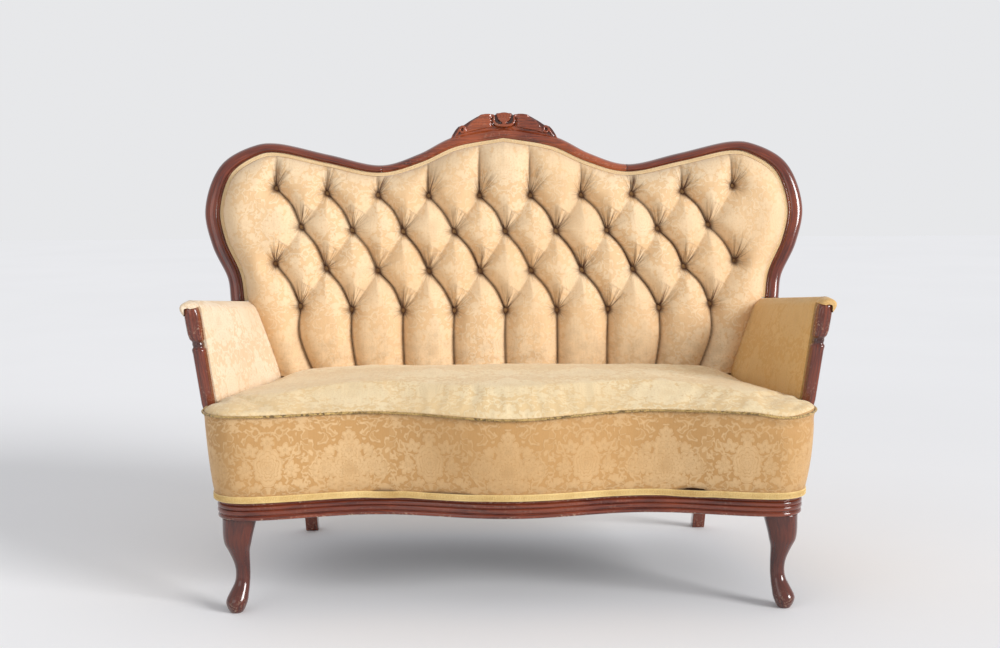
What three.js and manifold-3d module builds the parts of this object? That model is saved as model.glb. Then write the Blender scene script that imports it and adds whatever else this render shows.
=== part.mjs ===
// A two-seat show-wood settee with a deep-buttoned back, modelled in millimetres.
// +X is the sitter's left as seen from the front, +Y runs to the back, +Z is up, and the floor is Z = 0.

import * as THREE from 'three';
import { mergeVertices } from 'three/addons/utils/BufferGeometryUtils.js';
import Module from 'manifold-3d';

const wasm = await Module();
wasm.setup();

// Clearance between neighbouring pieces
const fit = 0.3;

// Heights
const legHeight = 200;
const railHeight = 38;
const borderHeight = 185;
const crownRise = 34;

// Seat plan
const seatWidth = 1202;
const seatFront = 314;
const waveHeight = 24;
const cornerRadius = 56;
const railThickness = 44;
const sideTaper = 85;
const borderFlare = 30;
const flareStart = 9;
const edgeDrop = 10;
const cornerSag = 9;
const sagPlace = 14;
const sideStraight = 40;
const crownMiddle = -70;

// Back frame
const backDepth = 173;
const backLean = 0.228;
const waistWidth = 1286;
const earWidth = 1412;
const earTopWidth = 1114;
const valleyWidth = 594;
const waistRise = 177;
const earSideRise = 218;
const earTopRise = 146;
const valleyDrop = 52;
const crestRise = 88;
const frameHalfDepth = 17;
const lipWidth = 9;
const lipHalfDepth = 10;
const seatNarrowing = 71;
const postInset = 20;
const stileRailBehind = 30;
const stileSeatBehind = 2;
const padGap = 6;
const postChamfer = 3;
const waistChamfer = 7;

// Width of the show wood at each place of the frame's line, from the waist round the ear to the middle of the crest
const frameWidths = [35, 34, 36, 38, 34, 26, 22, 20, 18, 21, 25, 28];

// Tufted back
const buttonPitch = 122;
const rowPitches = [93, 93, 85];
const firstRowRise = 153;
const rowLift = 20;
const tuftDepth = 43;
const padEdge = 12;
const buttonSeat = 18;
const buttonRadius = 7;
const buttonHeight = 6.5;
const padBack = 12;
const foldWidth = 21;
const edgeRound = 58;
const foldStrength = 0.85;
const faintFold = 0.55;
const straightFold = 0.8;
const buttonSink = 0.5;
const pitMargin = 1.2;
const slabMargin = 20;
const tallMargin = 60;

// Arms
const postWidth = 30;
const postDepth = 34;
const postPlace = 92;
const armHeight = 217;
const armFall = 42;
const armThickness = 27;
const rollOut = 12;
const rollHeight = 36;
const rollEase = 15;
const armFrontFlare = 0.138;
const armOutset = 19;
const armRearInset = 41;
const armRailInset = 28;
const armRearSwell = 20;
const armRearGap = 50;
const armSwell = 7;
const armOverlap = 4;
const tuckLength = 22;
const knuckleDrop = 4;
const neckRise = 128;
const neckHalf = 8;
const neckSize = 0.8;

// Legs
const kneeSize = 36;
const ankleSize = 15.5;
const toeSize = 22.5;
const rearLegSize = 31;
const rearRake = 89;
const rearLegSetBack = 79;
const rearFootWidth = 982;
const toeReach = 26;
const ankleReach = 15;
const kneeReach = 22;
const topReach = 17;
const toeForward = 31;
const ankleForward = 15;
const kneeForward = 19;

// Trimmings
const gimpWidth = 14;
const gimpThickness = 2.4;
const gimpLift = 1;
const gimpEdge = 1.5;
const gimpEnd = 12;
const braidMargin = 0.8;
const pipingDrop = 3;
const reedDepth = 2.5;
const pipingRadius = 3.6;
const clothThickness = 2;
const backRailHeight = 60;
const backRailThickness = 26;
const dustLift = 2;
const dustGap = 4;

// Carving of the crest
const carvingHeight = 52;
const carvingHalfWidth = 128;
const carvingSink = 6;
const carvingFoot = 20;
const carvingDepth = 24;
const carvingProud = 16;
const leafHalf = 5.5;
const shellHalfWidth = 22;

// Sizes that follow from the ones above
const railTop = legHeight + railHeight;
const seatEdge = railTop + borderHeight;
const padBottom = seatEdge + padGap;
const halfSeat = seatWidth / 2;
const cornerX = halfSeat - cornerRadius;
const waveLength = cornerX * 1.03;
const waistHeight = seatEdge + waistRise;
const earSideHeight = waistHeight + earSideRise;
const earTopHeight = earSideHeight + earTopRise;
const valleyHeight = earTopHeight - valleyDrop;
const crestHeight = valleyHeight + crestRise;
const buttonFace = padEdge + buttonSeat;

const wood = { color: 0x5a2418, roughness: 0.28, metalness: 0 };
const cloth = { color: 0xdcb878, roughness: 0.75, metalness: 0 };
const braid = { color: 0xd9ab4e, roughness: 0.8, metalness: 0 };
const lining = { color: 0x2b2826, roughness: 0.95, metalness: 0 };

const settee = new THREE.Group();

function mix(from, to, share) {
  return from + (to - from) * share;
}

function smoothStep(from, to, value) {
  const t = Math.min(Math.max((value - from) / (to - from), 0), 1);
  return t * t * (3 - 2 * t);
}

// A smooth curve of one value against another, through [at, value] pairs
function curveThrough(pairs) {
  const last = pairs.length - 1;
  const slopes = pairs.map((pair, i) => {
    const before = pairs[Math.max(i - 1, 0)];
    const after = pairs[Math.min(i + 1, last)];
    return (after[1] - before[1]) / (after[0] - before[0]);
  });
  return (at) => {
    let i = 0;
    while (i < last - 1 && at > pairs[i + 1][0]) {
      i += 1;
    }
    const span = pairs[i + 1][0] - pairs[i][0];
    const t = Math.min(Math.max((at - pairs[i][0]) / span, 0), 1);
    const keep = 1 - t;
    const ends = pairs[i][1] * keep * keep * (1 + 2 * t) + pairs[i + 1][1] * t * t * (3 - 2 * t);
    return ends + span * t * keep * (slopes[i] * keep - slopes[i + 1] * t);
  };
}

// Straight lines from one [at, value] pair to the next
function linesThrough(pairs) {
  return (at) => {
    let i = 0;
    while (i < pairs.length - 2 && at > pairs[i + 1][0]) {
      i += 1;
    }
    const share = (at - pairs[i][0]) / (pairs[i + 1][0] - pairs[i][0]);
    return mix(pairs[i][1], pairs[i + 1][1], share);
  };
}

// Numbers from first to last in equal steps
function steps(first, last, count) {
  return Array.from({ length: count + 1 }, (_, i) => mix(first, last, i / count));
}

function signedVolume(points, faces) {
  return faces.reduce((sum, [a, b, c]) => {
    return sum + points[a].dot(new THREE.Vector3().crossVectors(points[b], points[c])) / 6;
  }, 0);
}

// A closed mesh whose faces point outwards
function closedMesh(points, faces) {
  const outward = signedVolume(points, faces) > 0;
  const geometry = new THREE.BufferGeometry();
  geometry.setFromPoints(points);
  geometry.setIndex(faces.flatMap(([a, b, c]) => (outward ? [a, b, c] : [a, c, b])));
  return geometry;
}

// A skin over rings that have the same number of points, closed at both ends
function loft(rings) {
  const size = rings[0].length;
  const points = rings.flat();
  const faces = [];
  for (let r = 0; r < rings.length - 1; r += 1) {
    for (let i = 0; i < size; i += 1) {
      const next = (i + 1) % size;
      faces.push([r * size + i, r * size + next, (r + 1) * size + next]);
      faces.push([r * size + i, (r + 1) * size + next, (r + 1) * size + i]);
    }
  }
  const cap = (ring) => THREE.ShapeUtils.triangulateShape(flattened(ring), []);
  const lastStart = (rings.length - 1) * size;
  cap(rings[0]).forEach(([a, b, c]) => faces.push([c, b, a]));
  cap(rings[rings.length - 1]).forEach(([a, b, c]) => faces.push([lastStart + a, lastStart + b, lastStart + c]));
  return closedMesh(points, faces);
}

// A ring seen along its own axis, turned so that its outline runs one way round
function flattened(ring) {
  const axis = new THREE.Vector3();
  ring.forEach((point, i) => {
    const next = ring[(i + 1) % ring.length];
    axis.add(new THREE.Vector3().crossVectors(point, next));
  });
  axis.normalize();
  const side = Math.abs(axis.z) < 0.9 ? new THREE.Vector3(0, 0, 1) : new THREE.Vector3(1, 0, 0);
  const right = new THREE.Vector3().crossVectors(side, axis).normalize();
  const up = new THREE.Vector3().crossVectors(axis, right);
  return ring.map((point) => new THREE.Vector2(point.dot(right), point.dot(up)));
}

function asSolid(geometry) {
  const bare = new THREE.BufferGeometry();
  bare.setAttribute('position', geometry.getAttribute('position').clone());
  if (geometry.index) {
    bare.setIndex(geometry.index.clone());
  }
  const merged = mergeVertices(bare, 1e-4);
  const vertProperties = new Float32Array(merged.getAttribute('position').array);
  const triVerts = new Uint32Array(merged.index.array);
  return new wasm.Manifold(new wasm.Mesh({ numProp: 3, vertProperties, triVerts }));
}

function asGeometry(solid) {
  const mesh = solid.getMesh();
  const geometry = new THREE.BufferGeometry();
  geometry.setAttribute('position', new THREE.BufferAttribute(mesh.vertProperties, 3));
  geometry.setIndex(new THREE.BufferAttribute(mesh.triVerts, 1));
  return geometry;
}

function moved(geometry, change) {
  const places = geometry.getAttribute('position');
  const point = new THREE.Vector3();
  for (let i = 0; i < places.count; i += 1) {
    change(point.fromBufferAttribute(places, i));
    places.setXYZ(i, point.x, point.y, point.z);
  }
  return geometry;
}

function mirrored(geometry) {
  const copy = moved(geometry.clone(), (point) => point.setX(-point.x));
  const index = copy.index.array;
  for (let i = 0; i < index.length; i += 3) {
    [index[i], index[i + 1]] = [index[i + 1], index[i]];
  }
  return copy;
}

function addPiece(name, geometry, look) {
  const mesh = new THREE.Mesh(geometry, new THREE.MeshStandardMaterial(look));
  mesh.name = name;
  settee.add(mesh);
}

function addPair(name, geometry, look) {
  addPiece(`${name}_right`, geometry, look);
  addPiece(`${name}_left`, mirrored(geometry), look);
}

// Places on the back: the depth of the leaning plane at a height
function backPlane(z) {
  return backDepth + (z - padBottom) * backLean;
}

// The back posts, ring by ring from the foot up to the waist: the middle of each ring and its half thickness
const postHeights = steps(0, legHeight, 3).concat(
  railTop,
  legHeight + backRailHeight,
  steps(legHeight + backRailHeight, padBottom, 3).slice(1),
  steps(padBottom, waistHeight, 3).slice(1),
);

function ringByRing(curve) {
  return linesThrough(postHeights.map((z) => [z, curve(z)]));
}

const stileSeatX = waistWidth / 2 - seatNarrowing;
const postRailX = halfSeat - sideTaper - postInset;
const stileX = ringByRing(curveThrough([
  [0, rearFootWidth / 2],
  [legHeight * 0.5, rearFootWidth / 2 + 1],
  [legHeight + railHeight / 2, postRailX],
  [mix(railTop, padBottom, 0.45), mix(postRailX, stileSeatX, 0.34)],
  [padBottom, stileSeatX],
  [waistHeight, waistWidth / 2],
]));
const stileY = ringByRing(curveThrough([
  [0, backDepth + rearLegSetBack + rearRake],
  [legHeight * 0.5, backDepth + rearLegSetBack + rearRake * 0.52],
  [legHeight + railHeight / 2, backDepth + rearLegSetBack],
  [mix(railTop, padBottom, 0.45), backDepth + stileRailBehind],
  [padBottom, backDepth + stileSeatBehind],
  [mix(padBottom, waistHeight, 0.5), backPlane(mix(padBottom, waistHeight, 0.5))],
  [waistHeight, backPlane(waistHeight)],
]));
const stileHalf = ringByRing((z) => mix(rearLegSize / 2, frameHalfDepth, smoothStep(legHeight, waistHeight, z)));

// The seat rails seen from above: the outer face of the front rail, its rounded corners and the side rails
function frontY(x) {
  return -(seatFront + waveHeight * Math.cos((2 * Math.PI * x) / waveLength));
}
const cornerY = frontY(cornerX) + cornerRadius;
const sideEnd = stileY(legHeight + railHeight / 2) - rearLegSize / 2;

function sideX(y) {
  const curved = cornerY + sideStraight;
  const share = Math.max((y - curved) / (sideEnd - curved), 0);
  return halfSeat - sideTaper * share ** 1.3;
}

// Places along the side rails, shared by whatever lies against them
const sideStops = [cornerY + fit].concat(steps(cornerY + sideStraight, sideEnd, 4));

// Half of the plan, from the middle of the front to a place on the side, as points with outward directions
function halfPlan(sidePlaces) {
  const front = steps(0, cornerX, 13).slice(0, -1).map((x) => {
    const slope = waveHeight * ((2 * Math.PI) / waveLength) * Math.sin((2 * Math.PI * x) / waveLength);
    const length = Math.hypot(slope, 1);
    return { x, y: frontY(x), outX: slope / length, outY: -1 / length };
  });
  const corner = steps(0, Math.PI / 2, 5).map((turn) => {
    const [outX, outY] = [Math.sin(turn), -Math.cos(turn)];
    return { x: cornerX + cornerRadius * outX, y: cornerY + cornerRadius * outY, outX, outY };
  });
  const side = sidePlaces.map((y) => {
    const slope = (sideX(y + 1) - sideX(y - 1)) / 2;
    const length = Math.hypot(slope, 1);
    return { x: sideX(y), y, outX: 1 / length, outY: -slope / length };
  });
  return front.concat(corner, side);
}

// The whole plan from the left end of the half plan, round the front, to the right end
function wholePlan(sidePlaces) {
  const right = halfPlan(sidePlaces);
  const left = right.slice(1).reverse().map((p) => ({ x: -p.x, y: p.y, outX: -p.outX, outY: p.outY }));
  return left.concat(right);
}

// How far the padded border stands out from the rails at a height
function flareAt(z) {
  const share = Math.min(Math.max((z - railTop) / borderHeight, 0), 1);
  return mix(flareStart, borderFlare, share ** 0.65);
}

// How far the top edge of the border hangs below its corners, worn lowest in the middle and at one corner
function edgeHeight(x) {
  const middle = edgeDrop * Math.exp(-((x / (halfSeat * 0.26)) ** 2));
  const corner = cornerSag * Math.exp(-(((x - cornerX - sagPlace) / (cornerRadius * 0.8)) ** 2));
  return seatEdge - middle - corner;
}

// Arms: the inner and outer faces at a place along the arm and a height
const postMiddle = cornerY + postPlace / 1.5;
const armFrontY = postMiddle + postDepth / 2 + fit;
const armRearY = backDepth - armRearGap;

function armInnerAbove(y, z) {
  const front = halfSeat + armOutset + (z - seatEdge) * armFrontFlare;
  const rear = mix(stileSeatX, waistWidth / 2, (z - padBottom) / (waistHeight - padBottom)) - armRearInset;
  return mix(front, rear, (y - armFrontY) / (armRearY - armFrontY));
}

function armInner(y, z) {
  if (z >= seatEdge) {
    return armInnerAbove(y, z);
  }
  const share = (z - railTop) / borderHeight;
  return mix(sideX(y) - armRailInset, armInnerAbove(y, seatEdge), share);
}

function armOuter(y, z) {
  const along = (y - armFrontY) / (armRearY - armFrontY);
  const above = (height) => armInnerAbove(y, height) + armThickness + along * armRearSwell;
  if (z >= seatEdge) {
    return above(z);
  }
  const share = Math.max((z - railTop) / borderHeight, 0);
  return mix(sideX(y) + flareStart, above(seatEdge), share ** 0.9);
}

function armTop(y) {
  return seatEdge + armHeight - (armFall * (y - armFrontY)) / (armRearY - armFrontY);
}

// Front legs: cabriole, each ring a rounded square that moves out at the knee and the toe
function frontLeg() {
  const heights = [0, 0.045, 0.12, 0.205, 0.31, 0.465, 0.625, 0.73, 0.86, 0.95, 1].map((h) => h * legHeight);
  const size = curveThrough([
    [0, toeSize * 0.55],
    [0.045 * legHeight, toeSize * 0.8],
    [0.12 * legHeight, toeSize],
    [0.205 * legHeight, toeSize * 0.88],
    [0.31 * legHeight, ankleSize],
    [0.465 * legHeight, ankleSize],
    [0.625 * legHeight, mix(ankleSize, kneeSize, 0.27)],
    [0.73 * legHeight, mix(ankleSize, kneeSize, 0.6)],
    [legHeight, kneeSize],
  ]);
  const reach = curveThrough([
    [0, toeReach],
    [0.12 * legHeight, toeReach * 0.96],
    [0.31 * legHeight, ankleReach],
    [0.465 * legHeight, ankleReach * 0.97],
    [0.73 * legHeight, kneeReach],
    [legHeight, topReach],
  ]);
  const forward = curveThrough([
    [0, toeForward],
    [0.12 * legHeight, toeForward * 0.94],
    [0.31 * legHeight, ankleForward],
    [0.465 * legHeight, ankleForward * 0.87],
    [0.73 * legHeight, kneeForward],
    [legHeight, ankleForward],
  ]);
  const turns = steps(0, 2 * Math.PI, 14).slice(0, -1);
  const top = legHeight - fit;
  const rings = heights.map((height) => {
    const z = Math.min(height, top);
    const power = mix(1, 0.86, z / legHeight);
    return turns.map((turn) => {
      const across = Math.sign(Math.cos(turn)) * Math.abs(Math.cos(turn)) ** power;
      const along = Math.sign(Math.sin(turn)) * Math.abs(Math.sin(turn)) ** power;
      const x = cornerX + reach(z) + size(z) * across;
      const y = cornerY - forward(z) + size(z) * along;
      return new THREE.Vector3(x, y, z);
    });
  });
  return loft(rings);
}

// Back posts: rear leg and stile in one, square below the seat and rounded towards the waist
function backPost() {
  const rings = postHeights.map((height) => {
    const z = Math.min(height, waistHeight - fit);
    const half = stileHalf(z);
    const chamfer = mix(postChamfer, waistChamfer, smoothStep(legHeight, waistHeight, z));
    const corners = [[1, 1], [-1, 1], [-1, -1], [1, -1]];
    return corners.flatMap(([sx, sy], i) => {
      const first = [sx * half, sy * (half - chamfer)];
      const second = [sx * (half - chamfer), sy * half];
      const pair = i % 2 === 0 ? [first, second] : [second, first];
      return pair.map(([x, y]) => new THREE.Vector3(stileX(z) + x, stileY(z) + y, z));
    });
  });
  return loft(rings);
}

// The moulded section of the seat rails: how far each point stands out, and its share of the height
const railSection = [
  [-railThickness, 0],
  [-reedDepth * 1.2, 0],
  [0, 0.08],
  [0, 0.2],
  [-reedDepth, 0.26],
  [reedDepth * 0.6, 0.33],
  [reedDepth * 0.8, 0.43],
  [-reedDepth, 0.52],
  [reedDepth * 0.6, 0.6],
  [reedDepth * 0.8, 0.7],
  [-reedDepth, 0.79],
  [0, 0.86],
  [0, 0.95],
  [-reedDepth * 0.8, 1],
  [-railThickness, 1],
];

// The same place with its outward direction straight to the side, where it lies on a side rail
function levelled(place) {
  return place.y > cornerY ? { ...place, outX: Math.sign(place.x), outY: 0 } : place;
}

function railRing(place, endY) {
  return railSection.map(([out, rise]) => {
    const z = legHeight + rise * railHeight;
    const y = endY ? endY(z) : place.y + place.outY * out;
    return new THREE.Vector3(place.x + place.outX * out, y, z);
  });
}

function frontRail() {
  return loft(wholePlan([]).map((place) => railRing(place)));
}

function sideRail() {
  const face = halfPlan(sideStops).slice(-sideStops.length);
  const rings = face.map((place, i) => {
    const last = i === face.length - 1;
    return railRing(levelled(place), last ? (z) => stileY(z) - stileHalf(z) - fit : undefined);
  });
  return loft(rings);
}

function backRail() {
  const half = backRailThickness / 2;
  const corners = [[-1, -half], [1, -half], [1, half], [-1, half]];
  return loft([legHeight, railTop, legHeight + backRailHeight].map((z) => corners.map(([side, out]) => {
    return new THREE.Vector3(side * (stileX(z) - stileHalf(z) - fit), stileY(z) + out, z);
  })));
}

// Seat pad: border, rounded edge and crowned top, from the rails up; it narrows where the arms stand
const postFront = postMiddle - postDepth / 2;
const padRear = backDepth - 8;

function padPoint(place, z) {
  const tuck = smoothStep(postFront - tuckLength, postFront - fit * 10, place.y);
  const flare = flareAt(z);
  const bordered = place.x + place.outX * flare;
  const sheltered = Math.sign(place.x) * (armInner(Math.max(place.y, armFrontY), z) - fit * 6);
  return new THREE.Vector3(mix(bordered, sheltered, tuck), place.y + place.outY * flare * (1 - tuck), z);
}

function seatPad() {
  const beforePost = steps(postFront - tuckLength + 2, postFront - 3, 2);
  const sidePlaces = beforePost.concat(steps(postFront, padRear, 4).slice(1));
  const plan = wholePlan(sidePlaces);
  const rings = [0, 0.2, 0.45, 0.72, 0.94, 1].map((share) => {
    return plan.map((place) => {
      const level = smoothStep(postFront, padRear, place.y);
      const edge = mix(edgeHeight(place.x), seatEdge - fit * 6, level);
      return padPoint(place, mix(railTop + fit, edge, share));
    });
  });
  const rim = rings[rings.length - 1];
  const crown = curveThrough([[0, 0], [0.04, 0.3], [0.14, 0.62], [0.34, 0.9], [0.62, 0.99], [1, 1]]);
  [0.04, 0.14, 0.34, 0.62, 0.9].forEach((inward) => {
    rings.push(rim.map((point) => {
      const keep = 1 - inward;
      const z = point.z + (seatEdge + crownRise - point.z) * crown(inward);
      return new THREE.Vector3(point.x * keep, crownMiddle + (point.y - crownMiddle) * keep, z);
    }));
  });
  return asSolid(loft(rings)).subtract(backRoom);
}

// A band that follows the plan, from section points given as distance out from the border and height
function bandOnBorder(plan, section) {
  return loft(plan.map((place) => section.map(([out, rise]) => {
    return new THREE.Vector3(place.x + place.outX * out, place.y + place.outY * out, rise);
  })));
}

function seatGimp() {
  const low = railTop + gimpLift;
  const out = flareAt(low + gimpWidth) + fit * 3;
  const section = [
    [out, low],
    [out + gimpThickness, low + gimpEdge],
    [out + gimpThickness, low + gimpWidth - gimpEdge],
    [out, low + gimpWidth],
  ];
  return bandOnBorder(wholePlan(steps(cornerY + sideStraight, sideEnd - gimpEnd, 5)), section);
}

function seatPiping() {
  const plan = wholePlan([postFront - tuckLength - 2]);
  const turns = steps(0, 2 * Math.PI, 6).slice(0, -1);
  return loft(plan.map((place) => turns.map((turn) => {
    const out = borderFlare + fit + pipingRadius * (1 + Math.cos(turn));
    const z = edgeHeight(place.x) - pipingDrop + pipingRadius * Math.sin(turn);
    return new THREE.Vector3(place.x + place.outX * out, place.y + place.outY * out, z);
  })));
}

// Dust cover: a thin cloth inside the rails, seen only from below
function dustCover() {
  const inset = railThickness + fit * 2;
  const rear = stileY(legHeight) - backRailThickness / 2 - dustGap;
  const plan = wholePlan(sideStops.concat(rear)).map(levelled);
  const outline = plan.map((place) => new THREE.Vector2(place.x - place.outX * inset, place.y - place.outY * inset));
  const shape = new THREE.Shape(outline);
  const sheet = new THREE.ExtrudeGeometry(shape, { depth: clothThickness, bevelEnabled: false });
  return moved(asGeometry(asSolid(sheet)), (point) => point.setZ(point.z + legHeight + dustLift));
}

// Arms: a padded panel that leans outwards and rolls over at the top, from the post to the back.
// Each point of the section has the face that it lies on, its height and how far it stands out from that face.
function armSection(top) {
  return [
    [armInner, railTop + fit, 0],
    [armInner, seatEdge, 0],
    [armInner, mix(seatEdge, top, 0.5), 0],
    [armInner, top - rollHeight * 0.55, 0],
    [armInner, top - rollHeight * 0.2, rollEase / 3],
    [armInner, top, rollEase],
    [armOuter, top, -rollEase * 0.13],
    [armOuter, top - rollHeight * 0.17, rollOut * 0.75],
    [armOuter, top - rollHeight * 0.47, rollOut],
    [armOuter, top - rollHeight * 0.8, rollOut * 0.67],
    [armOuter, top - rollHeight, 0],
    [armOuter, mix(seatEdge, top, 0.4), 0],
    [armOuter, seatEdge, 0],
    [armOuter, mix(railTop, seatEdge, 0.5), 0],
    [armOuter, railTop + fit, 0],
  ];
}

// All the room behind the front faces of the back posts
function behindPosts() {
  return asSolid(loft(postHeights.concat(earSideHeight).map((z) => {
    const front = stileY(z) - stileHalf(z) - fit;
    const corners = [[-earWidth, 0], [earWidth, 0], [earWidth, backDepth], [-earWidth, backDepth]];
    return corners.map(([x, behind]) => new THREE.Vector3(x, front + behind, z));
  })));
}

function armPad() {
  const rearEnd = (z) => stileY(z) - stileHalf(z) + armOverlap;
  const rings = steps(0, 1, 7).map((along) => {
    const top = armTop(mix(armFrontY, armRearY, along));
    return armSection(top).map(([face, z, shift]) => {
      const y = mix(armFrontY, rearEnd(z), along);
      const padded = face === armInner && z > seatEdge;
      const swell = padded ? armSwell * Math.sin(Math.PI * along) ** 0.6 : 0;
      return new THREE.Vector3(face(y, z) + shift - swell, y, z);
    });
  });
  return asSolid(loft(rings)).subtract(behindPosts()).subtract(backRoom);
}

// Arm posts: a tapered shaft, a turned ring and a rounded knuckle under the end of the arm
function armPost() {
  const top = seatEdge + armHeight - knuckleDrop;
  const neck = seatEdge + neckRise;
  const middleX = (z) => armInner(armFrontY, z) + postWidth / 2 + fit;
  const knuckle = top - neck - neckHalf;
  const levels = [
    [railTop + fit, 0.86],
    [mix(railTop, seatEdge, 0.5), 0.9],
    [seatEdge, 0.94],
    [mix(seatEdge, neck, 0.6), 0.97],
    [neck - neckHalf * 1.5, 0.98],
    [neck - neckHalf, neckSize],
    [neck + neckHalf, neckSize],
    [neck + neckHalf * 1.4, 1],
    [neck + neckHalf + knuckle * 0.35, 1.04],
    [neck + neckHalf + knuckle * 0.74, 1],
    [neck + neckHalf + knuckle * 0.9, 0.82],
    [top - 1, 0.5],
    [top, 0.2],
  ];
  const turns = steps(0, 2 * Math.PI, 12).slice(0, -1);
  return loft(levels.map(([z, share]) => turns.map((turn) => {
    const across = Math.sign(Math.cos(turn)) * Math.abs(Math.cos(turn)) ** 0.8;
    const along = Math.sign(Math.sin(turn)) * Math.abs(Math.sin(turn)) ** 0.8;
    const x = middleX(z) + (postWidth / 2) * share * across;
    const y = postMiddle + (postDepth / 2 - fit) * Math.min(share, 1) * along;
    return new THREE.Vector3(x, y, z);
  })));
}

// The line of the back frame from the waist, round the ear and up to the middle of the crest.
// Each point is the middle of the wood: its place across, its width and its height.
const waistX = waistWidth / 2;
const earX = earWidth / 2;
const earTopX = earTopWidth / 2;
const valleyX = valleyWidth / 2;
const framePlaces = [
  [waistX, waistHeight],
  [mix(waistX, earX, 0.14), mix(waistHeight, earSideHeight, 0.26)],
  [mix(waistX, earX, 0.74), mix(waistHeight, earSideHeight, 0.625)],
  [earX, earSideHeight],
  [mix(earTopX, earX, 0.785), mix(earSideHeight, earTopHeight, 0.655)],
  [mix(earTopX, earX, 0.3), mix(earSideHeight, earTopHeight, 0.96)],
  [earTopX, earTopHeight],
  [mix(valleyX, earTopX, 0.5), mix(valleyHeight, earTopHeight, 0.475)],
  [valleyX, valleyHeight],
  [valleyX * 0.69, mix(valleyHeight, crestHeight, 0.29)],
  [valleyX * 0.41, mix(valleyHeight, crestHeight, 0.73)],
  [0, crestHeight],
];
const frameLine = new THREE.CatmullRomCurve3(framePlaces.map(([x, z], i) => {
  return new THREE.Vector3(x, frameWidths[i], z);
}), false, 'centripetal');
const valleyAt = 8 / 11;
const valleyGap = 0.0002;
const earStops = steps(0, valleyAt, 26);
const crestStops = steps(valleyAt, 1, 12);
const frameStops = earStops.concat(crestStops.slice(1));

// A station on the frame: its middle, its width and the direction away from the upholstery
function station(at) {
  const place = frameLine.getPoint(at);
  const ahead = frameLine.getPoint(Math.min(at + 0.004, 1));
  const behind = frameLine.getPoint(Math.max(at - 0.004, 0));
  const along = new THREE.Vector2(ahead.x - behind.x, ahead.z - behind.z).normalize();
  if (at === 0) {
    along.set(0, 1);
  }
  if (at === 1) {
    along.set(-1, 0);
  }
  return { x: place.x, z: place.z, width: place.y, outX: along.y, outZ: -along.x };
}

// A point beside a station: out from the inner edge of the wood, and behind the leaning plane
function beside(spot, out, behind) {
  const across = out - spot.width / 2;
  const z = spot.z + spot.outZ * across;
  return new THREE.Vector3(spot.x + spot.outX * across, backPlane(z) + behind, z);
}

// The wood's section: a rounded face with a lip inside it that the upholstery is tacked to
function frameRing(spot) {
  const w = spot.width;
  return [
    beside(spot, -lipWidth, -lipHalfDepth),
    beside(spot, 0, -lipHalfDepth),
    beside(spot, 0.06 * w, -frameHalfDepth + 2),
    beside(spot, 0.35 * w, -frameHalfDepth - 2),
    beside(spot, 0.7 * w, -frameHalfDepth),
    beside(spot, 0.94 * w, -frameHalfDepth + 6),
    beside(spot, w, -2),
    beside(spot, w, frameHalfDepth - 6),
    beside(spot, 0.85 * w, frameHalfDepth),
    beside(spot, 0, frameHalfDepth),
    beside(spot, -lipWidth, lipHalfDepth),
  ];
}

function acrossMiddle(half) {
  const other = half.slice(0, -1).reverse().map((spot) => ({ ...spot, x: -spot.x, outX: -spot.outX }));
  return half.concat(other);
}

function earRail() {
  const stops = earStops.slice(0, -1).concat(valleyAt - valleyGap);
  return loft(stops.map(station).map(frameRing));
}

// A tapered rod along a smooth path on the face of the crest, for carved leaves and scrolls
function carvedRod(places, thick, count) {
  const path = new THREE.CatmullRomCurve3(places.map(([x, z, proud]) => new THREE.Vector3(x, proud, z)));
  const turns = steps(0, 2 * Math.PI, 5).slice(0, -1);
  const size = curveThrough(thick);
  return loft(steps(0, 1, count).map((at) => {
    const middle = path.getPoint(at);
    const along = path.getTangent(at);
    const side = new THREE.Vector3(along.z, 0, -along.x).normalize();
    return turns.map((turn) => {
      const point = middle.clone().addScaledVector(side, size(at) * Math.cos(turn));
      point.y += size(at) * 0.8 * Math.sin(turn);
      return point;
    });
  }));
}

// Crest rail: the shaped top rail with a carved shell in the middle and long leaves to each side
const carvingBase = crestHeight - carvingSink;

function crestPlate() {
  const base = carvingBase;
  const w = carvingHalfWidth;
  const h = carvingHeight;
  const outline = new THREE.Shape();
  outline.moveTo(-w * 1.06, base - carvingFoot);
  outline.lineTo(-w * 1.02, base - carvingFoot / 2);
  outline.quadraticCurveTo(-w * 0.93, base + h * 0.2, -w * 0.86, base + h * 0.36);
  outline.lineTo(-w * 0.76, base + h * 0.42);
  outline.quadraticCurveTo(-w * 0.58, base + h * 0.86, -w * 0.4, base + h * 0.93);
  outline.lineTo(-shellHalfWidth, base + h * 0.9);
  outline.lineTo(-shellHalfWidth * 0.8, base + h);
  outline.lineTo(shellHalfWidth * 0.8, base + h);
  outline.lineTo(shellHalfWidth, base + h * 0.9);
  outline.lineTo(w * 0.4, base + h * 0.93);
  outline.quadraticCurveTo(w * 0.58, base + h * 0.86, w * 0.76, base + h * 0.42);
  outline.lineTo(w * 0.86, base + h * 0.36);
  outline.quadraticCurveTo(w * 0.93, base + h * 0.2, w * 1.02, base - carvingFoot / 2);
  outline.lineTo(w * 1.06, base - carvingFoot);
  outline.quadraticCurveTo(0, base + carvingFoot / 2, -w * 1.06, base - carvingFoot);
  const plate = new THREE.ExtrudeGeometry(outline, { depth: carvingDepth, bevelEnabled: false, curveSegments: 5 });
  plate.rotateX(Math.PI / 2);
  plate.translate(0, carvingDepth / 2, 0);
  return plate;
}

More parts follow.
